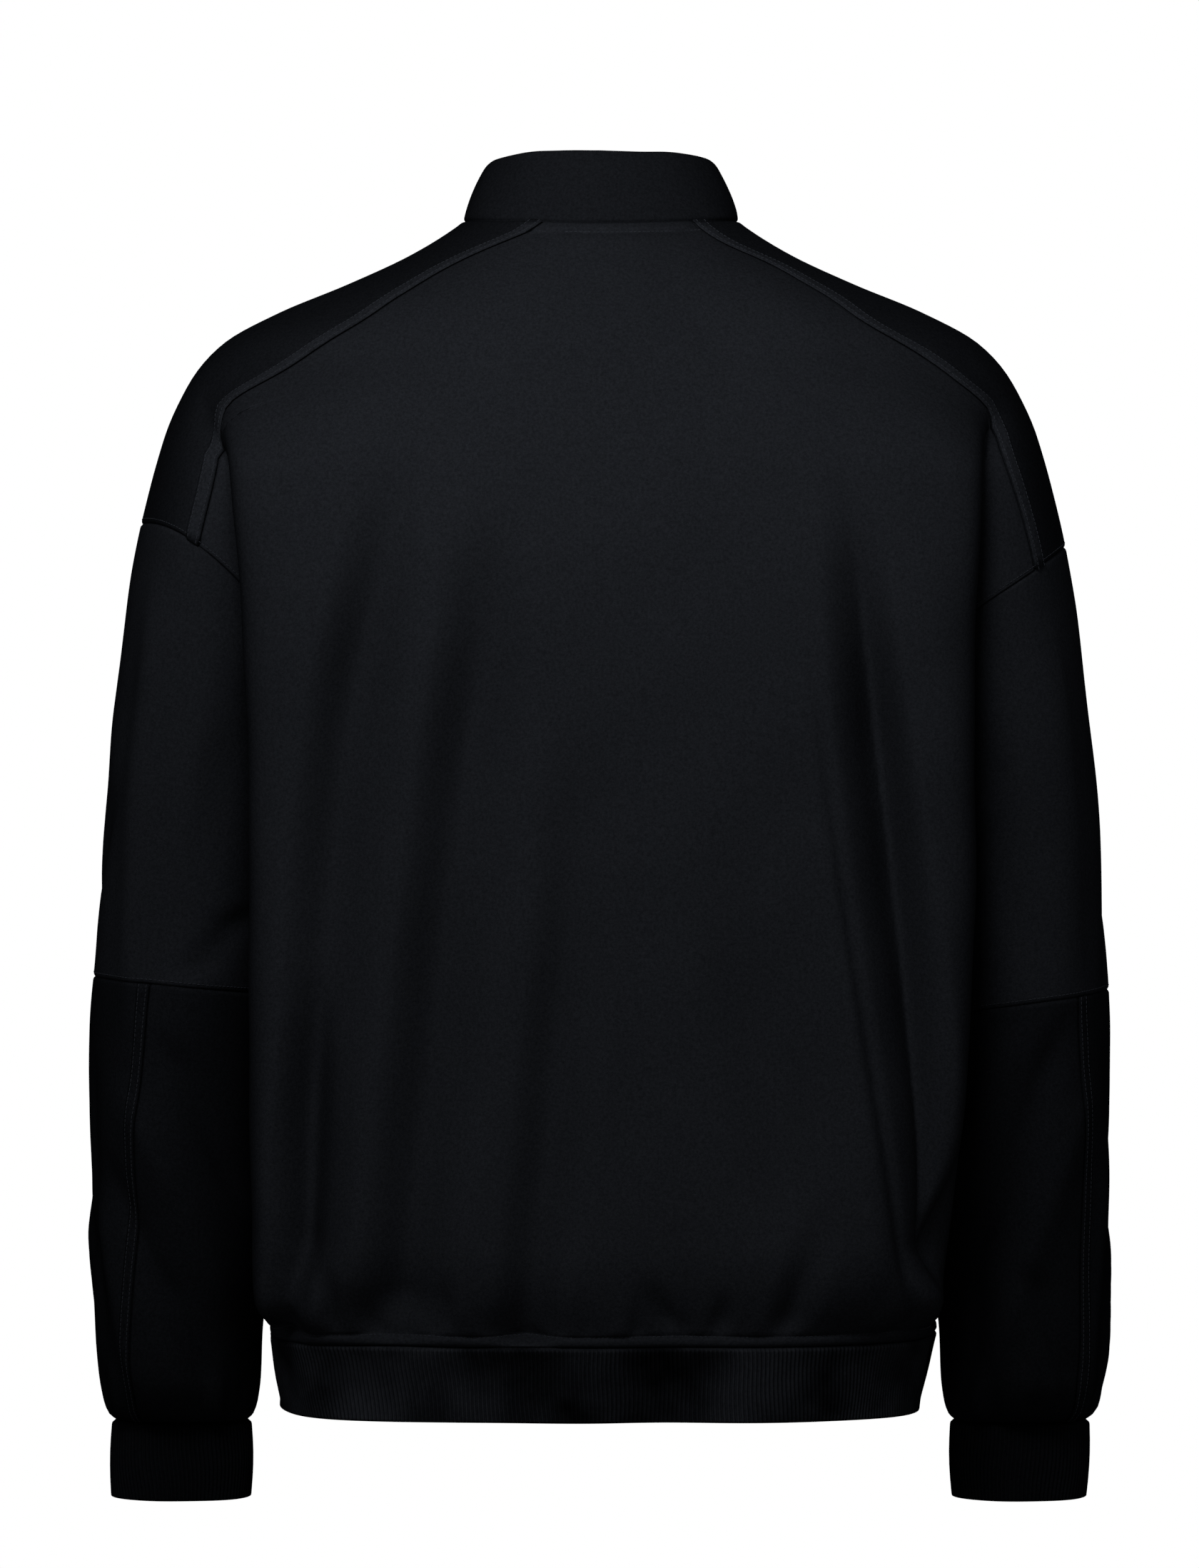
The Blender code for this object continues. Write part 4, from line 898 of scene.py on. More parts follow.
def trough_lift(troughs, x, z):
    """How far a table's troughs move the cloth. They reach over the centre line."""
    lift = np.zeros(np.shape(x))
    for fold in rows_of(troughs):
        heights, places, walls = (
            [fold[f"{name}_{at}"] for at in ("low", "mid", "top")] for name in ("z", "x", "in")
        )
        across = x * fold["side"] - eased(z, heights, places)
        reach = np.where(across < 0, eased(z, heights, walls), fold["out"])
        fade = smooth((fold["z_top"] - z) / fold["fade_top"]) * smooth((z - fold["z_low"]) / fold["fade_low"])
        share = np.clip(1 - np.abs(across) / reach, 0, 1)
        profile = between(share**TROUGH_POWER, smooth(share), fold["soft"])
        bank = crease(across - BANK_PLACE * fold["out"], fold["out"])
        lift = lift + fold["depth"] * fade * (BANK_SHARE * bank - profile)
    return lift


def unevenness(a, b):
    """Slow, low waves over a surface with sides a and b in millimetres."""
    total = np.zeros(np.shape(a + b))
    for row in rows_of(WAVES):
        way = math.radians(row["way"])
        run = (a * math.cos(way) + b * math.sin(way)) * 2 * math.pi / row["wave"]
        total = total + row["height"] * np.sin(run + row["phase"])
    return total


def pucker_lift(puckers, place, seed):
    """Gathers along a seam, by the place along it in millimetres."""
    uneven = 0.6 + 0.4 * np.sin(place / 37.0 + seed) * np.sin(place / 61.0 + 2 * seed)
    drift = place + 6 * np.sin(place / 47.0 + seed)
    return ripple(puckers, drift * 2 * math.pi, seed) * uneven


def hem_place(x, y):
    """How far round the hem a place lies, in millimetres from the centre back."""
    return HEM_ROUND * np.arctan2(x, y)


def stitched_lip(past):
    """The lip of a turned edge, by the distance past its row of stitches, and the groove along the row."""
    return SEAM_LIP * smooth(0.4 + past) - STITCH_GROOVE * crease(past, GROOVE_REACH)


def body_lift(z, t, side):
    """How far folds stand out from the smooth form of body and shoulder."""
    point = body_form(z, t, side)
    x, y = point[..., 0], point[..., 1]
    front = t > 3
    from_centre = np.where(front, 6 - t, t)
    from_zip = np.where(front, np.abs(x) - ZIP_CALM, np.inf)
    folds = np.where(front, trough_lift(FRONT_TROUGHS, x, z), trough_lift(BACK_TROUGHS, x, z))
    folds = folds * smooth((FOLD_END - from_centre) / FOLD_FADE) * smooth(from_zip / 18)
    neck = stitched_lip(NECK_STITCH - neck_z(t) + z)
    neck = neck * np.where(front, 0, smooth((NECK_LIP_HALF - np.abs(x)) / 6))
    place = hem_place(x, y)
    above_stitch = z - HEM_SEAM_Z - HEM_STITCH
    puckers = pucker_lift(HEM_PUCKERS, place, 1.3) * smooth((HEM_PUCKER_TOP - z) / 36)
    puckers = puckers * smooth((above_stitch + 1) / 5) + stitched_lip(-above_stitch)
    calm = smooth((NECK_BACK_Z - 12 - z) / 60) * smooth((2 - from_centre) / 0.6) * smooth(from_zip / 25)
    waves = unevenness(x + 0.7 * y, z) * calm * smooth((z - HEM_SEAM_Z) / 30)
    swing = ripple(HEM_WAVES, place) * smooth((HEM_WAVE_TOP - z) / (HEM_WAVE_TOP - HEM_SEAM_Z))
    return folds + waves + puckers + neck + swing


def sleeve_lift(z, turn, side):
    """How far folds stand out from the smooth form of a sleeve."""
    turn = (turn + 180) % 360 - 180
    lift = unevenness(turn * 1.1 + 200 * side, z + 90 * side) * 0.7
    lift = lift + pucker_lift(CUFF_PUCKERS, turn, 2.0 + side) * smooth((CUFF_PUCKER_TOP - z) / 40)
    for fold in rows_of(SLEEVE_FOLDS, side):
        share = (fold["z_top"] - z) / (fold["z_top"] - fold["z_low"])
        line = between(fold["turn_top"], fold["turn_low"], share)
        ends = smooth((share + 0.15) / 0.35) * smooth((1.15 - share) / 0.35)
        lift = lift + fold["lift"] * ends * crease(turn - line, fold["reach"], fold["power"])
    ends = smooth((drop_seam_z(turn, side) - z) / 40) * smooth((z - CUFF_SEAM_Z) / 8)
    return lift * ends * smooth((UNDERARM_TURN - np.abs(turn)) / 25)


def outward(form, z, place, side, ahead, behind):
    """Unit normals of a form, pointing out of the garment, from places ahead and behind on it."""
    down = form(z - 0.5, place, side) - form(z + 0.5, place, side)
    return unit(np.cross(form(z, ahead, side) - form(z, behind, side), down) * side)


def sleeve_out(z, turn, side):
    return outward(sleeve_form, z, turn, side, turn - 1.0, turn + 1.0)


def body_out(z, t, side):
    """Normals of body and shoulder. Below the underarm they are taken from the piece's own half."""
    step = 0.02
    below = z < UNDERARM_Z + 1
    ahead = np.where(below & (t <= 2), np.minimum(t + step, 2), t + step)
    behind = np.where(below & (t >= 4), np.maximum(t - step, 4), t - step)
    return outward(body_form, z, t, side, ahead, behind)


def body(z, t, side, away=0.0):
    """Points of the folded surface of body and shoulder, or away from it by some distance."""
    z, t = as_arrays(z, t)
    return body_form(z, t, side) + body_out(z, t, side) * (body_lift(z, t, side) + away)[..., None]


def sleeve(z, turn, side, away=0.0):
    """Points of the folded surface of a sleeve, or away from it by some distance."""
    z, turn = as_arrays(z, turn)
    out = sleeve_out(z, turn, side)
    return sleeve_form(z, turn, side) + out * (sleeve_lift(z, turn, side) + away)[..., None]


# Mesh making.


def add_lines(grid, surface, kinds):
    """Puts lines of places close to the first and last row, where cloth dips to a seam or is rounded."""
    for kind in kinds:
        if kind in EDGE_MARKS:
            marks = np.array(EDGE_MARKS[kind])
            reach = marks[-1] * EDGE_ROOM
            run = run_along(surface(grid[: EDGE_ROWS + 1]))
            first = min(1 + int((np.median(run[1:], 1) < reach).sum()), EDGE_ROWS)
            fit = np.minimum(1, run[first] / reach)
            column = np.arange(grid.shape[1])
            added = []
            for mark in marks:
                row = np.clip((run[: first + 1] <= mark * fit).sum(0) - 1, 0, first - 1)
                step = run[row + 1, column] - run[row, column]
                share = (mark * fit - run[row, column]) / np.maximum(step, 1e-6)
                added.append(between(grid[row, column], grid[row + 1, column], share[:, None]))
            grid = np.concatenate([grid[:1], added, grid[first:]])
        grid = grid[::-1]
    return grid


def seam_dip(distance):
    """How far the outer face sinks near a seam."""
    return SEAM_DIP * np.clip(1 - distance / SEAM_REACH, 0, 1) ** 2


def edge_draw(distance, thickness):
    """How far each face draws in near a free edge, which it makes round."""
    past = np.clip(1 - 2 * distance / thickness, 0, 1)
    return thickness / 2 * (1 - np.sqrt(1 - past**2)) * EDGE_DRAW


def edge_offsets(points, rows, columns, thickness):
    """How far out the two faces of a wall lie from a grid of points, given the kinds of its edges."""
    outer = np.zeros(points.shape[:2])
    inner = np.full(points.shape[:2], -thickness)
    for axis, kinds in ((0, rows), (1, columns)):
        run = run_along(np.moveaxis(points, axis, 0))
        for kind, distance in zip(kinds, (run, run[-1] - run)):
            distance = np.moveaxis(distance, 0, axis)
            if kind in ("sewn", "hem"):
                outer = outer - seam_dip(distance)
            elif kind == "free":
                drawn = edge_draw(distance, thickness)
                outer, inner = outer - drawn, inner + drawn
    return np.maximum(outer, inner + LEAST_WALL), inner


def wall_quads(rows, columns, tube):
    """Faces of a closed wall whose outer points come before its inner ones."""
    index = np.arange(rows * columns).reshape(rows, columns)
    if tube:
        index = np.concatenate([index, index[:, :1]], 1)
    other = index + rows * columns

    def strip(a, b, c, d):
        return np.stack([a, b, c, d], -1).reshape(-1, 4)

    quads = [
        strip(index[:-1, :-1], index[1:, :-1], index[1:, 1:], index[:-1, 1:]),
        strip(other[:-1, :-1], other[:-1, 1:], other[1:, 1:], other[1:, :-1]),
        strip(index[0, :-1], index[0, 1:], other[0, 1:], other[0, :-1]),
        strip(index[-1, 1:], index[-1, :-1], other[-1, :-1], other[-1, 1:]),
    ]
    if not tube:
        quads.append(strip(index[1:, 0], index[:-1, 0], other[:-1, 0], other[1:, 0]))
        quads.append(strip(index[:-1, -1], index[1:, -1], other[1:, -1], other[:-1, -1]))
    return np.concatenate(quads)


def facing_out(points, quads):
    a, b, c, d = (points[quads[:, k]] for k in range(4))
    volume = (a * np.cross(b, c)).sum() + (a * np.cross(c, d)).sum()
    return quads if volume > 0 else quads[:, ::-1]


def make_piece(name, points, quads, material, replaces=None):
    """A smooth mesh from points in millimetres, which rides on the jacket."""
    old = bpy.data.objects.get(name + "_cloth")
    if old:
        bpy.data.objects.remove(old)
    quads = np.ascontiguousarray(quads, dtype=np.int32)
    mesh = bpy.data.meshes.new(name)
    mesh.vertices.add(len(points))
    mesh.vertices.foreach_set("co", (points * MM).astype(np.float32).ravel())
    mesh.loops.add(quads.size)
    mesh.loops.foreach_set("vertex_index", quads.ravel())
    mesh.polygons.add(len(quads))
    mesh.polygons.foreach_set("loop_start", np.arange(0, quads.size, 4, dtype=np.int32))
    mesh.update(calc_edges=True)
    mesh.validate()
    mesh.shade_smooth()
    mesh.materials.append(material)
    piece = bpy.data.objects.new(name + "_cloth", mesh)
    bpy.context.scene.collection.objects.link(piece)
    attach(piece, "jacket")
    if replaces:
        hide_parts(replaces)
    return piece


def make_wall(name, outer, inner, slot, material, tube=False):
    """A closed wall between two grids of points, which stands for the node of the same name."""
    points = np.concatenate([outer.reshape(-1, 3), inner.reshape(-1, 3)])
    quads = facing_out(points, wall_quads(*outer.shape[:2], tube))
    return make_piece(name, points, quads, material, replaces=name)


def cloth_faces(grid, surface, rows=("sewn", "sewn"), columns=("sewn", "sewn")):
    """The two faces of a piece of cloth cut from a surface, given places on it and the kinds of its edges."""
    grid = add_lines(grid, surface, rows)
    grid = np.swapaxes(add_lines(np.swapaxes(grid, 0, 1), surface, columns), 0, 1)
    outer, inner = edge_offsets(surface(grid), rows, columns, CLOTH)
    return surface(grid, outer), surface(grid, inner)


def on_body(side):
    return lambda grid, away=0.0: body(grid[..., 0], grid[..., 1], side, away)


def on_sleeve(side):
    return lambda grid, away=0.0: sleeve(grid[..., 0], grid[..., 1], side, away)


def make_back_panel(material):
    faces = {}
    for side in SIDES:
        grid = np.stack(half_panel(side, "back", BACK_COLUMNS), -1)
        faces[side] = cloth_faces(grid, on_body(side), ("hem", "hem"), ("plain", "sewn"))
    outer, inner = (np.concatenate([faces[-1][k][:, :0:-1], faces[1][k]], 1) for k in (0, 1))
    return make_wall("back_panel", outer, inner, "body_cloth", material)


def make_front(side, material):
    grid = np.stack(half_panel(side, "front", FRONT_COLUMNS), -1)
    faces = cloth_faces(grid, on_body(side), rows=("sewn", "hem"), columns=("free", "sewn"))
    return make_wall("front_" + SIDES[side], *faces, "body_cloth", material)


def make_tape(name, grid, surface, material, raised=TAPE_RAISE):
    """A raised tape with round edges over the first two columns of a grid."""
    strip = between(grid[:, :1], grid[:, 1:2], np.linspace(0, 1, TAPE_COLUMNS)[None, :, None])
    across = np.linspace(-1, 1, TAPE_COLUMNS)
    height = TAPE_EDGE + raised * np.sqrt(np.clip(1 - np.abs(across) ** TAPE_ROUND, 0, 1))
    faces = (surface(strip, np.broadcast_to(away, strip.shape[:2])) for away in (height, TAPE_FOOT))
    return make_wall(name, *faces, "tape", material)


def make_shoulder(side, cloth, tape):
    grid = np.stack(shoulder_grid(side), -1)
    faces = cloth_faces(grid, on_body(side))
    panel = make_wall("shoulder_panel_" + SIDES[side], *faces, "deep_cloth", cloth)
    return panel, make_tape("shoulder_tape_" + SIDES[side], grid, on_body(side), tape)


def make_upper_sleeve(side, material):
    faces = cloth_faces(upper_sleeve_grid(side), on_sleeve(side))
    return make_wall("sleeve_upper_" + SIDES[side], *faces, "body_cloth", material)


def make_lower_sleeve(side, name, material):
    faces = cloth_faces(lower_sleeve_grid(side, name), on_sleeve(side))
    return make_wall(f"sleeve_lower_{name}_{SIDES[side]}", *faces, "deep_cloth", material)


def rib_band(name, path, drop, taper, swing, closed, material):
    """A band of vertical ribs below a level path, which leans and swings a little and is plain inside."""
    centre = path.mean(0) if closed else np.array([0.0, 0.0, path[0, 2]])
    if closed:
        path = np.concatenate([path, path[:1]])
    run = run_along(path)
    ribs = round(run[-1] / RIB_PITCH)
    count = ribs * COLUMNS_PER_RIB + (0 if closed else 1)
    place = np.arange(count) * run[-1] / (ribs * COLUMNS_PER_RIB)
    middle = np.linspace(RIB_ROOM[0], drop - RIB_ROOM[1], RIB_ROWS)
    height = np.concatenate([RIB_STARTS, middle, drop - RIB_ENDS])[:, None]
    share = height / drop
    hold = 1.0 if closed else smooth(place / 25) * smooth((run[-1] - place) / 25)
    lean = height * (RIB_LEAN + RIB_SWAY * np.sin(place / 33.0 + 1)) * hold
    lean = lean + RIB_WANDER * np.sin(height / 7.0 + place / 19.0) * hold * smooth(height / 10)

    def on_path(marks):
        return marks % run[-1] if closed else np.clip(marks, 0, run[-1])

    at = on_path(place + lean)
    point, ahead, behind = (points_at(on_path(at + step), run, path) for step in (0.0, 1.5, -1.5))
    normal = unit(np.cross(ahead - behind, (0.0, 0.0, 1.0)))
    if ((point - centre) * normal).sum() < 0:
        normal = -normal
    grid = (point - centre) * between(1, taper, share)[..., None] + centre
    grid[..., 2] = path[0, 2] - height

    profile = np.abs(np.cos(np.arange(count) * math.pi / COLUMNS_PER_RIB)) ** RIB_PROFILE_POWER
    raised = RIB_RAISE * profile * smooth(height / 2.5) * smooth((drop - height) / 0.8 + 0.15)
    bulge = np.sin(math.pi * share) * RIB_BULGE * (1 + 0.5 * np.sin(place / 41.0))
    move = swing(point[..., 0], point[..., 1], share) + bulge
    drawn = edge_draw(drop - height, RIB_CLOTH)
    outer = grid + normal * (raised + move - drawn - seam_dip(height))[..., None]
    inner = grid + normal * (move - RIB_CLOTH + drawn)[..., None]
    return make_wall(name, outer, inner, "rib_knit", material, tube=closed)


def make_hem(material):
    outline = hem_outline()
    outline[:, 2] = HEM_SEAM_Z

    def swing(x, y, share):
        place = hem_place(x, y)
        wave = ripple(HEM_WAVES, place) * (1 - 0.35 * share) + ripple(HEM_EDGE_WAVES, place) * share
        dent = np.sin(math.pi * share) * 2.2 * np.sin(place / 11.5 + 1.4) * np.sin(place / 33.0 + 0.7)
        return wave + dent - hem_flare(y) * (1 - (1 - share) ** 2.5)

    return rib_band("hem_rib", outline, HEM_SEAM_Z - HEM_Z, HEM_TAPER, swing, False, material)


def make_cuff(side, material):
    outline = sleeve_form(CUFF_SEAM_Z, np.linspace(0, 360, 361)[:-1], side)
    middle = outline.mean(0)

    def swing(x, y, share):
        turn = np.arctan2(y - middle[1], x - middle[0])
        return share * (0.9 * np.sin(2 * turn + side) + 0.5 * np.sin(5 * turn + 2))

    name = "cuff_" + SIDES[side]
    return rib_band(name, outline, CUFF_SEAM_Z - CUFF_Z, CUFF_TAPER, swing, True, material)


def collar_grid():
    """Points of the collar's surface, in rows that rise from the neck seam, with the way out at each."""
    base = neck_points()
    run = run_along(base)
    ends = np.array([0, *EDGE_MARKS["free"]])
    middle = np.linspace(FREE_EDGE_ROOM, run[-1] - FREE_EDGE_ROOM, COLLAR_COLUMNS)
    base = points_at(np.concatenate([ends, middle, run[-1] - ends[::-1]]), run, base)
    low = np.array([0, *EDGE_MARKS["sewn"]]) / COLLAR_RISE
    high = 1 - ends[::-1] / COLLAR_RISE
    shares = np.concatenate([low, np.linspace(low[-1] + 0.06, high[0] - 0.05, COLLAR_ROWS), high])
    grid = collar_points(base, shares)
    out = unit(np.cross(np.gradient(grid, axis=1), np.gradient(grid, axis=0)))
    if ((grid - (0, COLLAR_CENTRE_Y, 0))[0] * out[0]).sum() < 0:
        out = -out
    wave = unevenness(hem_place(grid[..., 0], grid[..., 1] + 10) * 0.55, grid[..., 2] * 1.6) * 0.5
    return grid + out * (wave * smooth(shares[:, None] * 4))[..., None], out


def make_collar(material):
    grid, out = collar_grid()
    outer, inner = edge_offsets(grid, ("sewn", "free"), ("free", "free"), COLLAR_CLOTH)
    upward, tucked = unit(grid[1] - grid[0]), len(COLLAR_TUCK)
    grid = np.concatenate([[grid[0] - upward * depth for depth in COLLAR_TUCK], grid])
    out, outer, inner = (np.concatenate([rows[:1]] * tucked + [rows]) for rows in (out, outer, inner))
    outer[:tucked] -= COLLAR_TUCK_IN
    inner[:tucked] -= COLLAR_TUCK_IN
    faces = (grid + out * outer[..., None], grid + out * inner[..., None])
    return make_wall("collar", *faces, "body_cloth", material)


def zip_strip(side):
    """Points in front of a zip tape, in rows from the collar's edge down to the hem, and the way out."""
    z, t = half_panel(side, "front", FRONT_COLUMNS)
    edges = body(z[:, :2], t[:, :2], side)
    middle = body_form(z[:, 0], 6.0, side)
    middle[:, 0] = side * ZIP_TAPE_EDGE
    front = np.concatenate([middle[:, None], edges], 1)
    collar = collar_points(front[0], np.linspace(0, 1, ZIP_COLLAR_ROWS))[::-1]
    low = front[-1] * (1, HEM_TAPER, 0) + (0, 0, HEM_Z)
    hem = between(front[-1], low, np.linspace(0, 1, ZIP_HEM_ROWS + 1)[1:, None, None])
    grid = np.concatenate([collar[:-1], front, hem])
    grid = np.stack([points_at(ZIP_TAPE_MARKS, (0, 1, 2), row) for row in grid])
    out = unit(np.cross(np.gradient(grid, axis=0), np.gradient(grid, axis=1)))
    out = out * -np.sign(out[..., 1:2])
    depth = np.full(len(grid), CLOTH + ZIP_ROOM)
    depth[:ZIP_COLLAR_ROWS] = COLLAR_CLOTH + ZIP_ROOM
    depth[-ZIP_HEM_ROWS:] = RIB_CLOTH + ZIP_ROOM
    depth = np.convolve(np.pad(depth, 2, "edge"), np.full(5, 0.2), "valid")
    return grid - out * depth[:, None, None], out


def make_zip_tape(side, material):
    grid, out = zip_strip(side)
    return make_wall("zip_tape_" + SIDES[side], grid, grid - out * ZIP_TAPE_CLOTH, "tape", material)


def ring_quads(sides, rings):
    """Faces between rings of points, each of so many sides."""
    quads = []
    for ring in range(rings - 1):
        for k in range(sides):
            a, b = ring * sides + k, ring * sides + (k + 1) % sides
            quads.append((a, b, b + sides, a + sides))
    return quads


def make_copies(name, shapes, quads, material):
    """A piece of many small shapes, (shape, point, 3), which all have the same faces."""
    quads = np.array(quads) + np.arange(len(shapes))[:, None, None] * shapes.shape[1]
    points = shapes.reshape(-1, 3)
    return make_piece(name, points, facing_out(points, quads.reshape(-1, 4)), material)


def make_teeth(material):
    """Moulded teeth that reach over the middle of the zip in turn from the left and from the right."""
    grid, out = zip_strip(1)
    run = run_along(grid[:, 0])
    marks = np.arange(TOOTH_TOP_ROOM, run[-1] - TOOTH_LOW_ROOM, TOOTH_PITCH)
    centre = points_at(marks, run, grid[:, 0]) * (0, 1, 1)
    out = unit(points_at(marks, run, out[:, 0]) * (0, 1, 1))
    along_zip = np.cross(out, (1.0, 0.0, 0.0))
    way = np.where(np.arange(len(marks)) % 2, 1.0, -1.0)[:, None]
    points = []
    for height, scale in TOOTH_LEVELS:
        for x, y in TOOTH_OUTLINE:
            across = between(TOOTH_MIDDLE, x, scale) * way * (1.0, 0.0, 0.0)
            points.append(centre + across + along_zip * (y * scale) * way + out * height)
    quads = ring_quads(4, 3) + [(8, 9, 10, 11), (3, 2, 1, 0)]
    piece = make_copies("zip_teeth", np.stack(points, 1), quads, material)
    piece.data.shade_flat()
    return piece


def sew(name, lines, material):
    """Stitches along lines, each given as points and the ways out from the cloth there."""
    turns = np.radians(np.arange(STITCH_SIDES) * 360 / STITCH_SIDES)
    shapes = []
    for points, out in lines:
        run = run_along(points)
        marks = np.arange(STITCH_PITCH / 2, run[-1], STITCH_PITCH)
        way = unit(points_at(marks + 0.6, run, points) - points_at(marks - 0.6, run, points))
        up = unit(points_at(marks, run, out))
        beside = np.cross(way, up)
        middle = points_at(marks, run, points) + up * STITCH_SINK
        shape = []
        for where, scale in STITCH_RINGS:
            for turn in turns:
                side = beside * math.cos(turn) + up * math.sin(turn)
                shape.append(middle + way * (where * STITCH_LENGTH) + side * (STITCH_WIDTH / 2 * scale))
        shapes.append(np.stack(shape, 1))
    quads = ring_quads(STITCH_SIDES, len(STITCH_RINGS))
    quads += [(0, 3, 2, 1), (0, 5, 4, 3), (18, 19, 20, 21), (18, 21, 22, 23)]
    return make_copies(name, np.concatenate(shapes), quads, material)


def beside_edge(grid, share):
    """Places between a grid's first two columns, as a row of heights and one of stations or turns."""
    return between(grid[:, 0], grid[:, 1], share).T


def body_line(z, t, side, away=0.0):
    return body(z, t, side, away), body_out(z, t, side)


def sleeve_line(z, turn, side, away=0.0):
    return sleeve(z, turn, side, away), sleeve_out(z, turn, side)


# Materials.


def add_node(tree, kind, inputs=None, **settings):
    """A node with its settings. An input is a value, or the output socket that feeds it."""
    node = tree.nodes.new(kind)
    for key, value in settings.items():
        setattr(node, key, value)
    for key, value in (inputs or {}).items():
        if isinstance(value, bpy.types.NodeSocket):
            tree.links.new(value, node.inputs[key])
        else:
            node.inputs[key].default_value = value
    return node


def maths(tree, operation, first, second=0.0, third=0.0, clamp=False):
    inputs = {0: first, 1: second, 2: third}
    return add_node(tree, "ShaderNodeMath", inputs, operation=operation, use_clamp=clamp).outputs[0]


def new_group(name, inputs, outputs):
    """A shader node group with its sockets, and its ends."""
    group = bpy.data.node_groups.new(name, "ShaderNodeTree")
    for label, kind, value in inputs:
        socket = group.interface.new_socket(label, in_out="INPUT", socket_type=kind)
        socket.default_value = value
    for label, kind in outputs:
        group.interface.new_socket(label, in_out="OUTPUT", socket_type=kind)
    return group, group.nodes.new("NodeGroupInput"), group.nodes.new("NodeGroupOutput")


def scaled(tree, colour, factor):
    """A colour made lighter or darker by a factor."""
    return add_node(tree, "ShaderNodeVectorMath", {0: colour, "Scale": factor}, operation="SCALE").outputs[0]


def noise(tree, place, scale, detail, rough):
    inputs = {"Vector": place, "Scale": scale, "Detail": detail, "Roughness": rough}
    return add_node(tree, "ShaderNodeTexNoise", inputs).outputs["Fac"]


def cloth_grain_group():
    """Speckled grain of a knitted face, slow shifts of tone, which at a strong drift are painted sheen and
    shade, and the bump that goes with them.
    """
    group, start, end = new_group(
        "Cloth Grain",
        [
            ("Color", "NodeSocketColor", (0.004, 0.004, 0.005, 1)),
            ("Speckle", "NodeSocketFloat", 0.5),
            ("Drift", "NodeSocketFloat", 0.2),
            ("Drift Scale", "NodeSocketFloat", 7.0),
            ("Relief", "NodeSocketFloat", 0.3),
        ],
        [("Color", "NodeSocketColor"), ("Normal", "NodeSocketVector"), ("Roughness", "NodeSocketFloat")],
    )
    place = add_node(group, "ShaderNodeTexCoord").outputs["Object"]
    speckle = noise(group, place, WEAVE_SCALE, 3.0, 0.65)
    fine = noise(group, place, FIBRE_SCALE, 2.0, 0.6)
    drift = noise(group, place, start.outputs["Drift Scale"], 3.0, 0.5)
    grain = maths(group, "ADD", maths(group, "MULTIPLY", speckle, 0.65), maths(group, "MULTIPLY", fine, 0.35))
    spread = {"Value": grain, "From Min": 0.36, "From Max": 0.64, "To Min": -1.0, "To Max": 1.0}
    spread = add_node(group, "ShaderNodeMapRange", spread).outputs[0]
    tone = maths(group, "MULTIPLY_ADD", spread, start.outputs["Speckle"], 1.0)
    slow = maths(group, "MULTIPLY_ADD", maths(group, "SUBTRACT", drift, 0.5), start.outputs["Drift"], 1.0)
    factor = maths(group, "MULTIPLY", tone, maths(group, "MAXIMUM", slow, 0.2))
    inputs = {"Height": grain, "Strength": start.outputs["Relief"], "Distance": WEAVE_DEPTH}
    bump = add_node(group, "ShaderNodeBump", inputs)
    rough = maths(group, "MULTIPLY_ADD", grain, 0.16, 0.6)
    group.links.new(scaled(group, start.outputs["Color"], factor), end.inputs["Color"])
    group.links.new(bump.outputs[0], end.inputs["Normal"])
    group.links.new(rough, end.inputs["Roughness"])
    return group


def new_material(name):
    """A material with an empty node tree."""
    material = bpy.data.materials.new(name)
    material.use_nodes = True
    material.node_tree.nodes.clear()
    return material, material.node_tree


def add_shader(tree, colour, roughness, specular=0.0, **inputs):
    """The shader and the output that end a material's node tree."""
    inputs = {"Base Color": colour, "Roughness": roughness, "Specular IOR Level": specular, **inputs}
    shader = add_node(tree, "ShaderNodeBsdfPrincipled", inputs)
    add_node(tree, "ShaderNodeOutputMaterial", {"Surface": shader.outputs[0]})


def cloth_material(name, colour, speckle, drift, relief, turn_shade):
    """A knitted cloth whose colour painted shade darkens as its face turns away from the camera, the more the
    higher turn_shade is.
    """
    material, tree = new_material(name)
    inputs = {
        "Color": (*colour, 1),
        "Speckle": speckle,
        "Drift": drift,
        # A drift over 1 is the hem rib's: painted sheen and shade, bright patches and dark blotches at a
        # finer scale.
        "Drift Scale": 22.0 if drift > 1 else 7.0,
        "Relief": relief,
    }
    group = bpy.data.node_groups.get("Cloth Grain") or cloth_grain_group()
    grain = add_node(tree, "ShaderNodeGroup", inputs, node_tree=group).outputs
    # Painted shade: the colour is full where the face looks at the camera and darkens as it turns away, in
    # place of the light falling off.
    facing = add_node(tree, "ShaderNodeLayerWeight", {"Blend": 0.5}).outputs["Facing"]
    toward = maths(tree, "POWER", maths(tree, "SUBTRACT", 1.0, facing), turn_shade)
    factor = maths(tree, "MULTIPLY_ADD", toward, 1.0 - TURN_SHADE_LOW, TURN_SHADE_LOW)
    add_shader(tree, scaled(tree, grain["Color"], factor), grain["Roughness"], Normal=grain["Normal"])
    return material


def metal_material(name, colour, roughness):
    """Black painted metal with worn, slightly uneven semi-gloss."""
    material, tree = new_material(name)
    place = add_node(tree, "ShaderNodeTexCoord").outputs["Object"]
    mottle = noise(tree, place, MOTTLE_SCALE, 4.0, 0.6)
    rough = maths(tree, "MULTIPLY_ADD", mottle, 0.2, roughness - 0.1)
    bump = add_node(tree, "ShaderNodeBump", {"Height": mottle, "Strength": 0.15, "Distance": MOTTLE_DEPTH})
    add_shader(tree, (*colour, 1), rough, METAL_SPECULAR, Normal=bump.outputs[0])
    return material


def floor_material(tone):
    """Plain matt paint in a pale grey."""
    material, tree = new_material("Pale Floor")
    add_shader(tree, (tone, tone, tone, 1), 0.9)
    return material


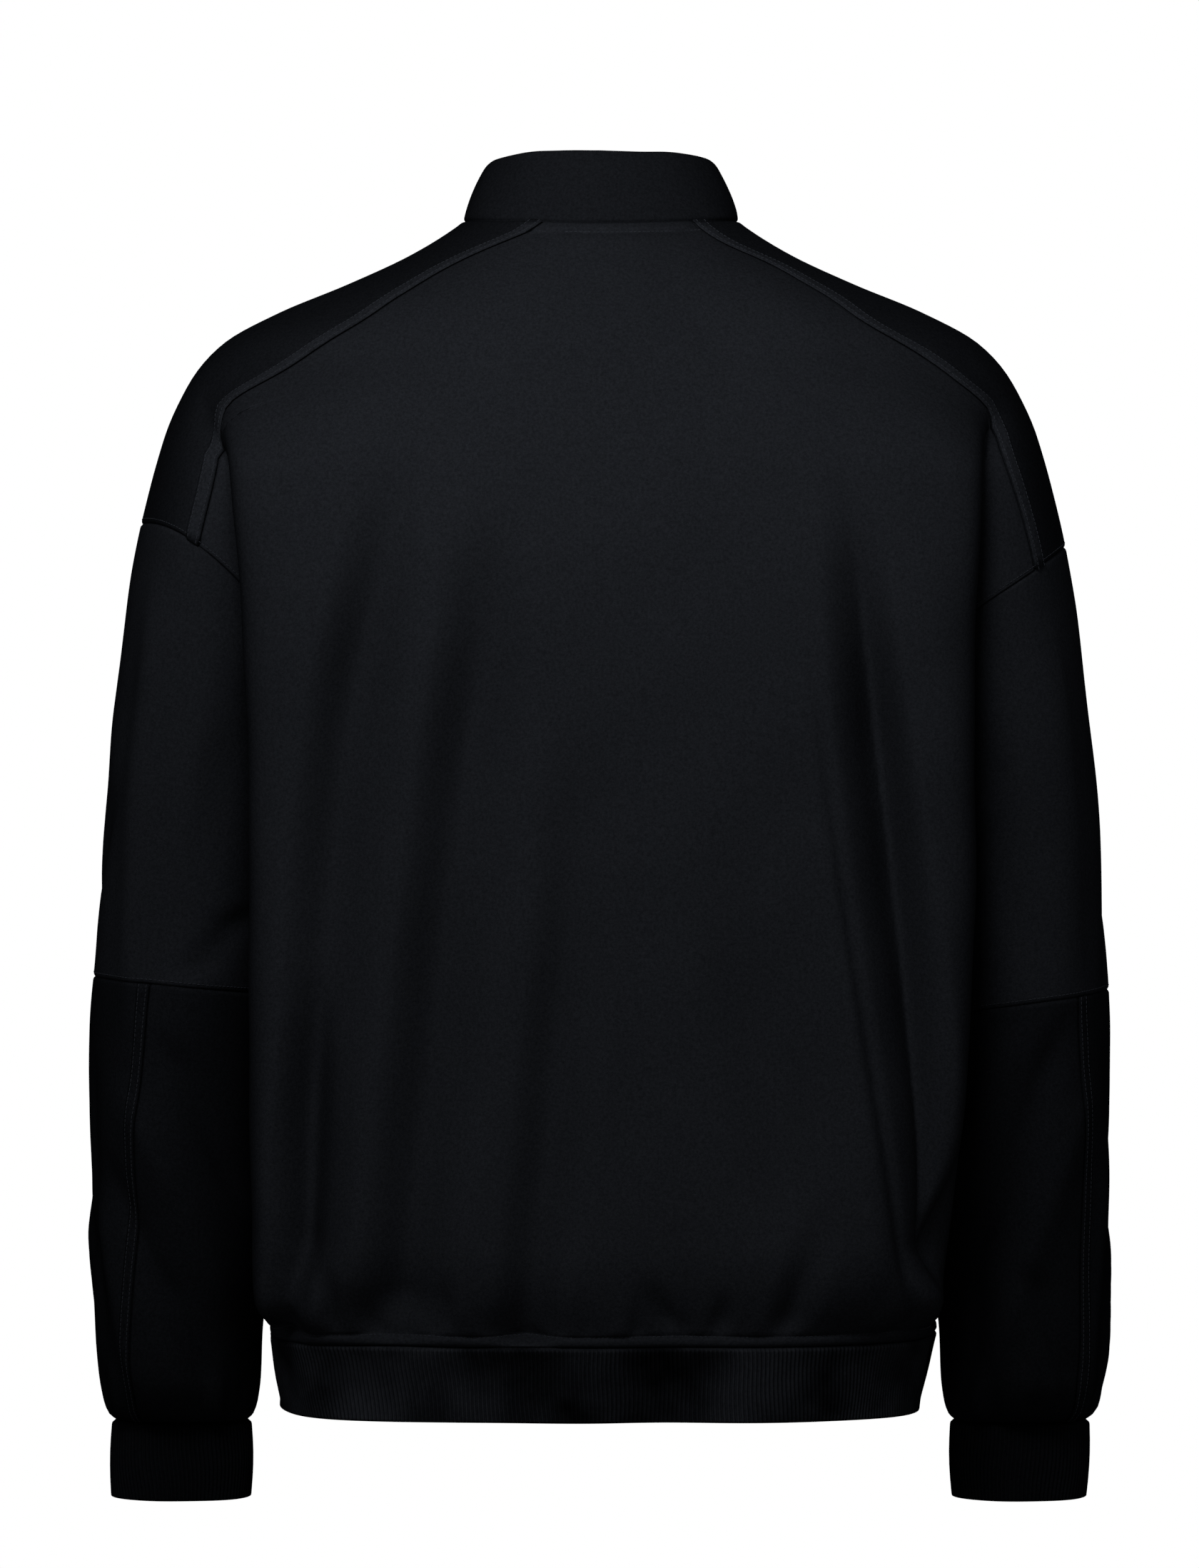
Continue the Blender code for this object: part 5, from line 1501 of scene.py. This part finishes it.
def finish_material(kind):
    """The material of one kind, made once from the scene's settings."""
    found = bpy.data.materials.get(kind)
    if found:
        return found
    looks = bpy.context.scene.jacket_looks
    if kind == "Satin Black Metal":
        return metal_material(kind, tuple(looks.metal_colour), METAL_ROUGHNESS)
    # Each kind: its tone as a share of the jersey's colour, speckle, drift, relief, and the power of the
    # painted shade as the cloth turns from the camera. Several tones are lighter and darker copies of one
    # cloth, painted light and shade.
    shades = {
        "Jersey": (1.0, looks.speckle, 0.35, 0.35, 1.5),
        # The upper sleeves: a darker copy of the body's jersey, painted shade.
        "Sleeve Jersey": (0.85, looks.speckle, 0.35, 0.35, 0.8),
        "Shoulder Jersey": (0.68, looks.speckle, 0.3, 0.35, 1.9),
        # The lower sleeves: the deeper panel cloth of the shoulder panels, set darker than theirs, partly its
        # own tone and partly painted shade.
        "Deep Jersey": (looks.deep_tone_and_shade, looks.speckle, 0.3, 0.35, 1.0),
        # The hem rib: a lighter copy of the rib than the cuffs', painted light, with a strong drift of
        # painted sheen and dark blotches.
        "Hem Rib": (looks.rib_tone * 2.2, looks.speckle * 0.8, 4.0, 0.4, 4.5),
        # The cuffs: a darker copy of the same rib as the hem, painted shade.
        "Cuff Rib": (looks.rib_tone * 0.8, looks.speckle * 0.8, 0.3, 0.4, 1.6),
        "Woven Tape": (1.0, 0.35, 0.1, 0.2, 1.0),
        # The lower sleeves' tape: a darker copy of the woven tape, painted shade.
        "Deep Tape": (looks.deep_tone_and_shade * 0.9, 0.35, 0.1, 0.2, 1.2),
        "Thread": (2.2, 0.1, 0.0, 0.1, 0.6),
        # The collar: a darker copy of the body's jersey, painted shade.
        "Collar Jersey": (0.63, looks.speckle, 0.3, 0.35, 1.2),
    }
    share, *rest = shades[kind]
    return cloth_material(kind, [value * share for value in looks.cloth_colour], *rest)


class JacketLooks(bpy.types.PropertyGroup):
    """Colours and strengths that a user may change before building."""

    cloth_colour: bpy.props.FloatVectorProperty(
        name="Cloth colour",
        description="Base colour of the jersey",
        subtype="COLOR",
        size=3,
        min=0.0,
        max=1.0,
        default=(0.00131, 0.00140, 0.00164),
    )
    # Tone of the deeper cloth on the lower sleeves and their tapes, set darker than the shoulder panels'
    # copy, so it is partly painted shade.
    deep_tone_and_shade: bpy.props.FloatProperty(
        name="Deep tone",
        description="Tone of the shoulder panels and lower sleeves as a share of the jersey's",
        subtype="FACTOR",
        default=0.5,
        min=0.0,
        max=1.0,
    )
    rib_tone: bpy.props.FloatProperty(
        name="Rib tone",
        description="Tone of the ribs as a share of the jersey's",
        subtype="FACTOR",
        default=0.45,
        min=0.0,
        max=1.0,
    )
    metal_colour: bpy.props.FloatVectorProperty(
        name="Metal colour",
        description="Base colour of the zip's slider, pull and teeth",
        subtype="COLOR",
        size=3,
        min=0.0,
        max=1.0,
        default=(0.0045, 0.0045, 0.0050),
    )
    speckle: bpy.props.FloatProperty(
        name="Speckle",
        description="Strength of the cloth's speckled grain",
        subtype="FACTOR",
        default=0.28,
        min=0.0,
        max=1.0,
    )


class JacketStage(bpy.types.PropertyGroup):
    """Camera distance and lights."""

    distance: bpy.props.FloatProperty(
        name="Camera distance",
        description="Distance of the camera from the garment's middle plane",
        unit="LENGTH",
        default=4.2,
        min=1.0,
    )
    view_height: bpy.props.FloatProperty(
        name="View height",
        description="Height that the picture takes in at the garment's middle plane",
        unit="LENGTH",
        default=0.9008,
        min=0.1,
    )
    key_power: bpy.props.FloatProperty(
        name="Key light",
        description="Power of the large light above the back",
        unit="POWER",
        default=39.0,
        min=0.0,
    )
    front_power: bpy.props.FloatProperty(
        name="Front light",
        description="Power of the light above the front",
        unit="POWER",
        default=28.0,
        min=0.0,
    )
    side_power: bpy.props.FloatProperty(
        name="Side lights",
        description="Power of the lights at both sides",
        unit="POWER",
        default=6.0,
        min=0.0,
    )
    floor_tone: bpy.props.FloatProperty(
        name="Floor tone",
        description="How pale the plain floor is",
        subtype="FACTOR",
        default=0.88,
        min=0.0,
        max=1.0,
    )
    white: bpy.props.FloatProperty(
        name="White surround",
        description="Strength of the white world",
        default=1.0,
        min=0.0,
    )


class JACKET_OT_back(bpy.types.Operator):
    """Build the back panel"""

    bl_idname = "jacket.back"
    bl_label = "Back Panel"

    def execute(self, context):
        make_back_panel(finish_material("Jersey"))
        return {"FINISHED"}


class JACKET_OT_fronts(bpy.types.Operator):
    """Build the two fronts"""

    bl_idname = "jacket.fronts"
    bl_label = "Fronts"

    def execute(self, context):
        for side in SIDES:
            make_front(side, finish_material("Jersey"))
        return {"FINISHED"}


class JACKET_OT_shoulders(bpy.types.Operator):
    """Build the shoulder panels and the tapes along their back seams"""

    bl_idname = "jacket.shoulders"
    bl_label = "Shoulder Panels"

    def execute(self, context):
        for side in SIDES:
            cloth, woven = finish_material("Shoulder Jersey"), finish_material("Woven Tape")
            panel, tape = make_shoulder(side, cloth, woven)
        return {"FINISHED"}


class JACKET_OT_upper_sleeves(bpy.types.Operator):
    """Build the upper sleeves"""

    bl_idname = "jacket.upper_sleeves"
    bl_label = "Upper Sleeves"

    def execute(self, context):
        for side in SIDES:
            make_upper_sleeve(side, finish_material("Sleeve Jersey"))
        return {"FINISHED"}


class JACKET_OT_lower_sleeves(bpy.types.Operator):
    """Build both pieces of the lower sleeves and the tapes along their back seams"""

    bl_idname = "jacket.lower_sleeves"
    bl_label = "Lower Sleeves"

    def execute(self, context):
        cloth = finish_material("Deep Jersey")
        for side, word in SIDES.items():
            under = make_lower_sleeve(side, "under", cloth)
            outer = make_lower_sleeve(side, "outer", cloth)
            grid, woven = lower_sleeve_grid(side, "outer"), finish_material("Deep Tape")
            tape = make_tape("sleeve_tape_" + word, grid, on_sleeve(side), woven, SLEEVE_TAPE_RAISE)
        return {"FINISHED"}


class JACKET_OT_cuffs(bpy.types.Operator):
    """Build the ribbed cuffs"""

    bl_idname = "jacket.cuffs"
    bl_label = "Cuffs"

    def execute(self, context):
        for side in SIDES:
            make_cuff(side, finish_material("Cuff Rib"))
        return {"FINISHED"}


class JACKET_OT_hem(bpy.types.Operator):
    """Build the ribbed hem"""

    bl_idname = "jacket.hem"
    bl_label = "Hem"

    def execute(self, context):
        make_hem(finish_material("Hem Rib"))
        return {"FINISHED"}


class JACKET_OT_collar(bpy.types.Operator):
    """Build the stand collar"""

    bl_idname = "jacket.collar"
    bl_label = "Collar"

    def execute(self, context):
        make_collar(finish_material("Collar Jersey"))
        return {"FINISHED"}


class JACKET_OT_zip(bpy.types.Operator):
    """Build the zip's tapes and teeth, and finish its slider and pull"""

    bl_idname = "jacket.zip"
    bl_label = "Zip"

    def execute(self, context):
        metal = finish_material("Satin Black Metal")
        for side in SIDES:
            make_zip_tape(side, finish_material("Woven Tape"))
        make_teeth(metal)
        for name in ("zip_slider", "zip_pull"):
            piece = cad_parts[name]
            piece.data.materials.clear()
            piece.data.materials.append(metal)
            bevel = piece.modifiers.new("Bevel", "BEVEL")
            bevel.width = METAL_BEVEL
            bevel.segments = 2
            bevel.limit_method = "ANGLE"
        return {"FINISHED"}


class JACKET_OT_stitching(bpy.types.Operator):
    """Sew the topstitching of the seams, tapes, hem and zip"""

    bl_idname = "jacket.stitching"
    bl_label = "Stitching"

    def execute(self, context):
        thread = finish_material("Thread")
        row = np.linspace(0, 1, STITCH_PLACES)
        hem = np.full(STITCH_PLACES, HEM_SEAM_Z + HEM_STITCH)
        lines = []
        for side in SIDES:
            for half, columns in (("back", BACK_COLUMNS), ("front", FRONT_COLUMNS)):
                z, t = half_panel(side, half, columns)
                lines.append(body_line(hem, along(t[-1], row), side))
                lines.append(body_line(along(z[0], row) - NECK_STITCH, along(t[0], row), side))
            grid = np.stack(half_panel(side, "front", FRONT_COLUMNS), -1)
            for inset in ZIP_STITCHES:
                lines.append(body_line(*beside_edge(grid, inset / (ZIP_TAPE_WIDTH - ZIP_HALF_GAP)), side))
            turn = np.linspace(-140, 140, STITCH_PLACES)
            above = drop_seam_z(turn, side) + DROP_STITCH
            lines.append(body_line(above, 3 - turn / read(SLEEVE, "wrap", above), side))
            grid = np.stack(shoulder_grid(side), -1)
            for share in TAPE_STITCHES:
                lines.append(body_line(*beside_edge(grid, share), side, TAPE_RAISE + TAPE_STITCH_RAISE))
        sew("stitching_body", lines, thread)

        lines = []
        for side in SIDES:
            turn = np.linspace(-180, 180, ELBOW_PLACES)
            lines.append(sleeve_line(elbow_z(turn, side) + ELBOW_STITCH, turn, side))
            grid = lower_sleeve_grid(side, "outer")
            for share in TAPE_STITCHES:
                away = SLEEVE_TAPE_RAISE + TAPE_STITCH_RAISE
                lines.append(sleeve_line(*beside_edge(grid, share), side, away))
        sew("stitching_sleeves", lines, thread)
        return {"FINISHED"}


class JACKET_OT_stage(bpy.types.Operator):
    """Set the camera, the lights, the pale floor and the white surround"""

    bl_idname = "jacket.stage"
    bl_label = "Stage"

    def execute(self, context):
        scene = context.scene
        stage = scene.jacket_stage
        camera = bpy.data.cameras.new("Camera")
        camera.sensor_fit = "VERTICAL"
        camera.sensor_height = SENSOR
        camera.lens = SENSOR * stage.distance / stage.view_height
        camera.clip_end = 50.0
        holder = bpy.data.objects.new("Camera", camera)
        holder.location = (CAMERA_X, stage.distance, CAMERA_Z)
        holder.rotation_euler = (math.pi / 2, 0.0, math.pi)
        scene.collection.objects.link(holder)
        scene.camera = holder

        for name, place, aim, width, height, power in LIGHTS:
            light = bpy.data.lights.new(name, "AREA")
            light.shape = "RECTANGLE"
            light.size = width
            light.size_y = height
            light.energy = getattr(stage, power)
            light.color = LIGHT_COLOUR
            light.spread = math.radians(LIGHT_SPREAD)
            lamp = bpy.data.objects.new(name, light)
            lamp.location = place
            way = np.subtract(aim, place)
            level = math.hypot(way[0], way[1])
            lamp.rotation_euler = (math.atan2(level, -way[2]), 0.0, math.atan2(way[1], way[0]) - math.pi / 2)
            scene.collection.objects.link(lamp)

        turns = np.linspace(0, 2 * math.pi, FLOOR_SIDES, endpoint=False)
        rim = [(FLOOR_RADIUS * math.cos(turn), FLOOR_RADIUS * math.sin(turn), FLOOR_Z) for turn in turns]
        mesh = bpy.data.meshes.new("Floor")
        mesh.from_pydata(rim, [], [range(FLOOR_SIDES)])
        mesh.materials.append(floor_material(stage.floor_tone))
        floor = bpy.data.objects.new("Floor", mesh)
        scene.collection.objects.link(floor)

        world = bpy.data.worlds.new("White surround")
        world.use_nodes = True
        background = world.node_tree.nodes["Background"]
        background.inputs["Color"].default_value = (1.0, 1.0, 1.0, 1.0)
        background.inputs["Strength"].default_value = stage.white
        scene.world = world
        scene.view_settings.view_transform = "Standard"
        scene.view_settings.look = "None"
        return {"FINISHED"}


PIECES = (
    JACKET_OT_back,
    JACKET_OT_fronts,
    JACKET_OT_shoulders,
    JACKET_OT_upper_sleeves,
    JACKET_OT_lower_sleeves,
    JACKET_OT_cuffs,
    JACKET_OT_hem,
    JACKET_OT_collar,
    JACKET_OT_zip,
    JACKET_OT_stitching,
    JACKET_OT_stage,
)


class JACKET_PT_panel(bpy.types.Panel):
    """Lists the jacket's pieces and settings"""

    bl_label = "Track Jacket"
    bl_idname = "JACKET_PT_panel"
    bl_space_type = "VIEW_3D"
    bl_region_type = "UI"
    bl_category = "Jacket"

    def draw(self, context):
        layout = self.layout
        for group in (context.scene.jacket_looks, context.scene.jacket_stage):
            for name in group.bl_rna.properties.keys():
                if name not in {"rna_type", "name"}:
                    layout.prop(group, name)
        for piece in PIECES:
            layout.operator(piece.bl_idname)


CLASSES = (JacketLooks, JacketStage, *PIECES, JACKET_PT_panel)


def register():
    for item in CLASSES:
        bpy.utils.register_class(item)
    bpy.types.Scene.jacket_looks = bpy.props.PointerProperty(type=JacketLooks)
    bpy.types.Scene.jacket_stage = bpy.props.PointerProperty(type=JacketStage)


def unregister():
    del bpy.types.Scene.jacket_stage
    del bpy.types.Scene.jacket_looks
    for item in reversed(CLASSES):
        bpy.utils.unregister_class(item)


def main():
    register()
    for piece in PIECES:
        group, name = piece.bl_idname.split(".")
        getattr(getattr(bpy.ops, group), name)()


if __name__ == "__main__":
    main()
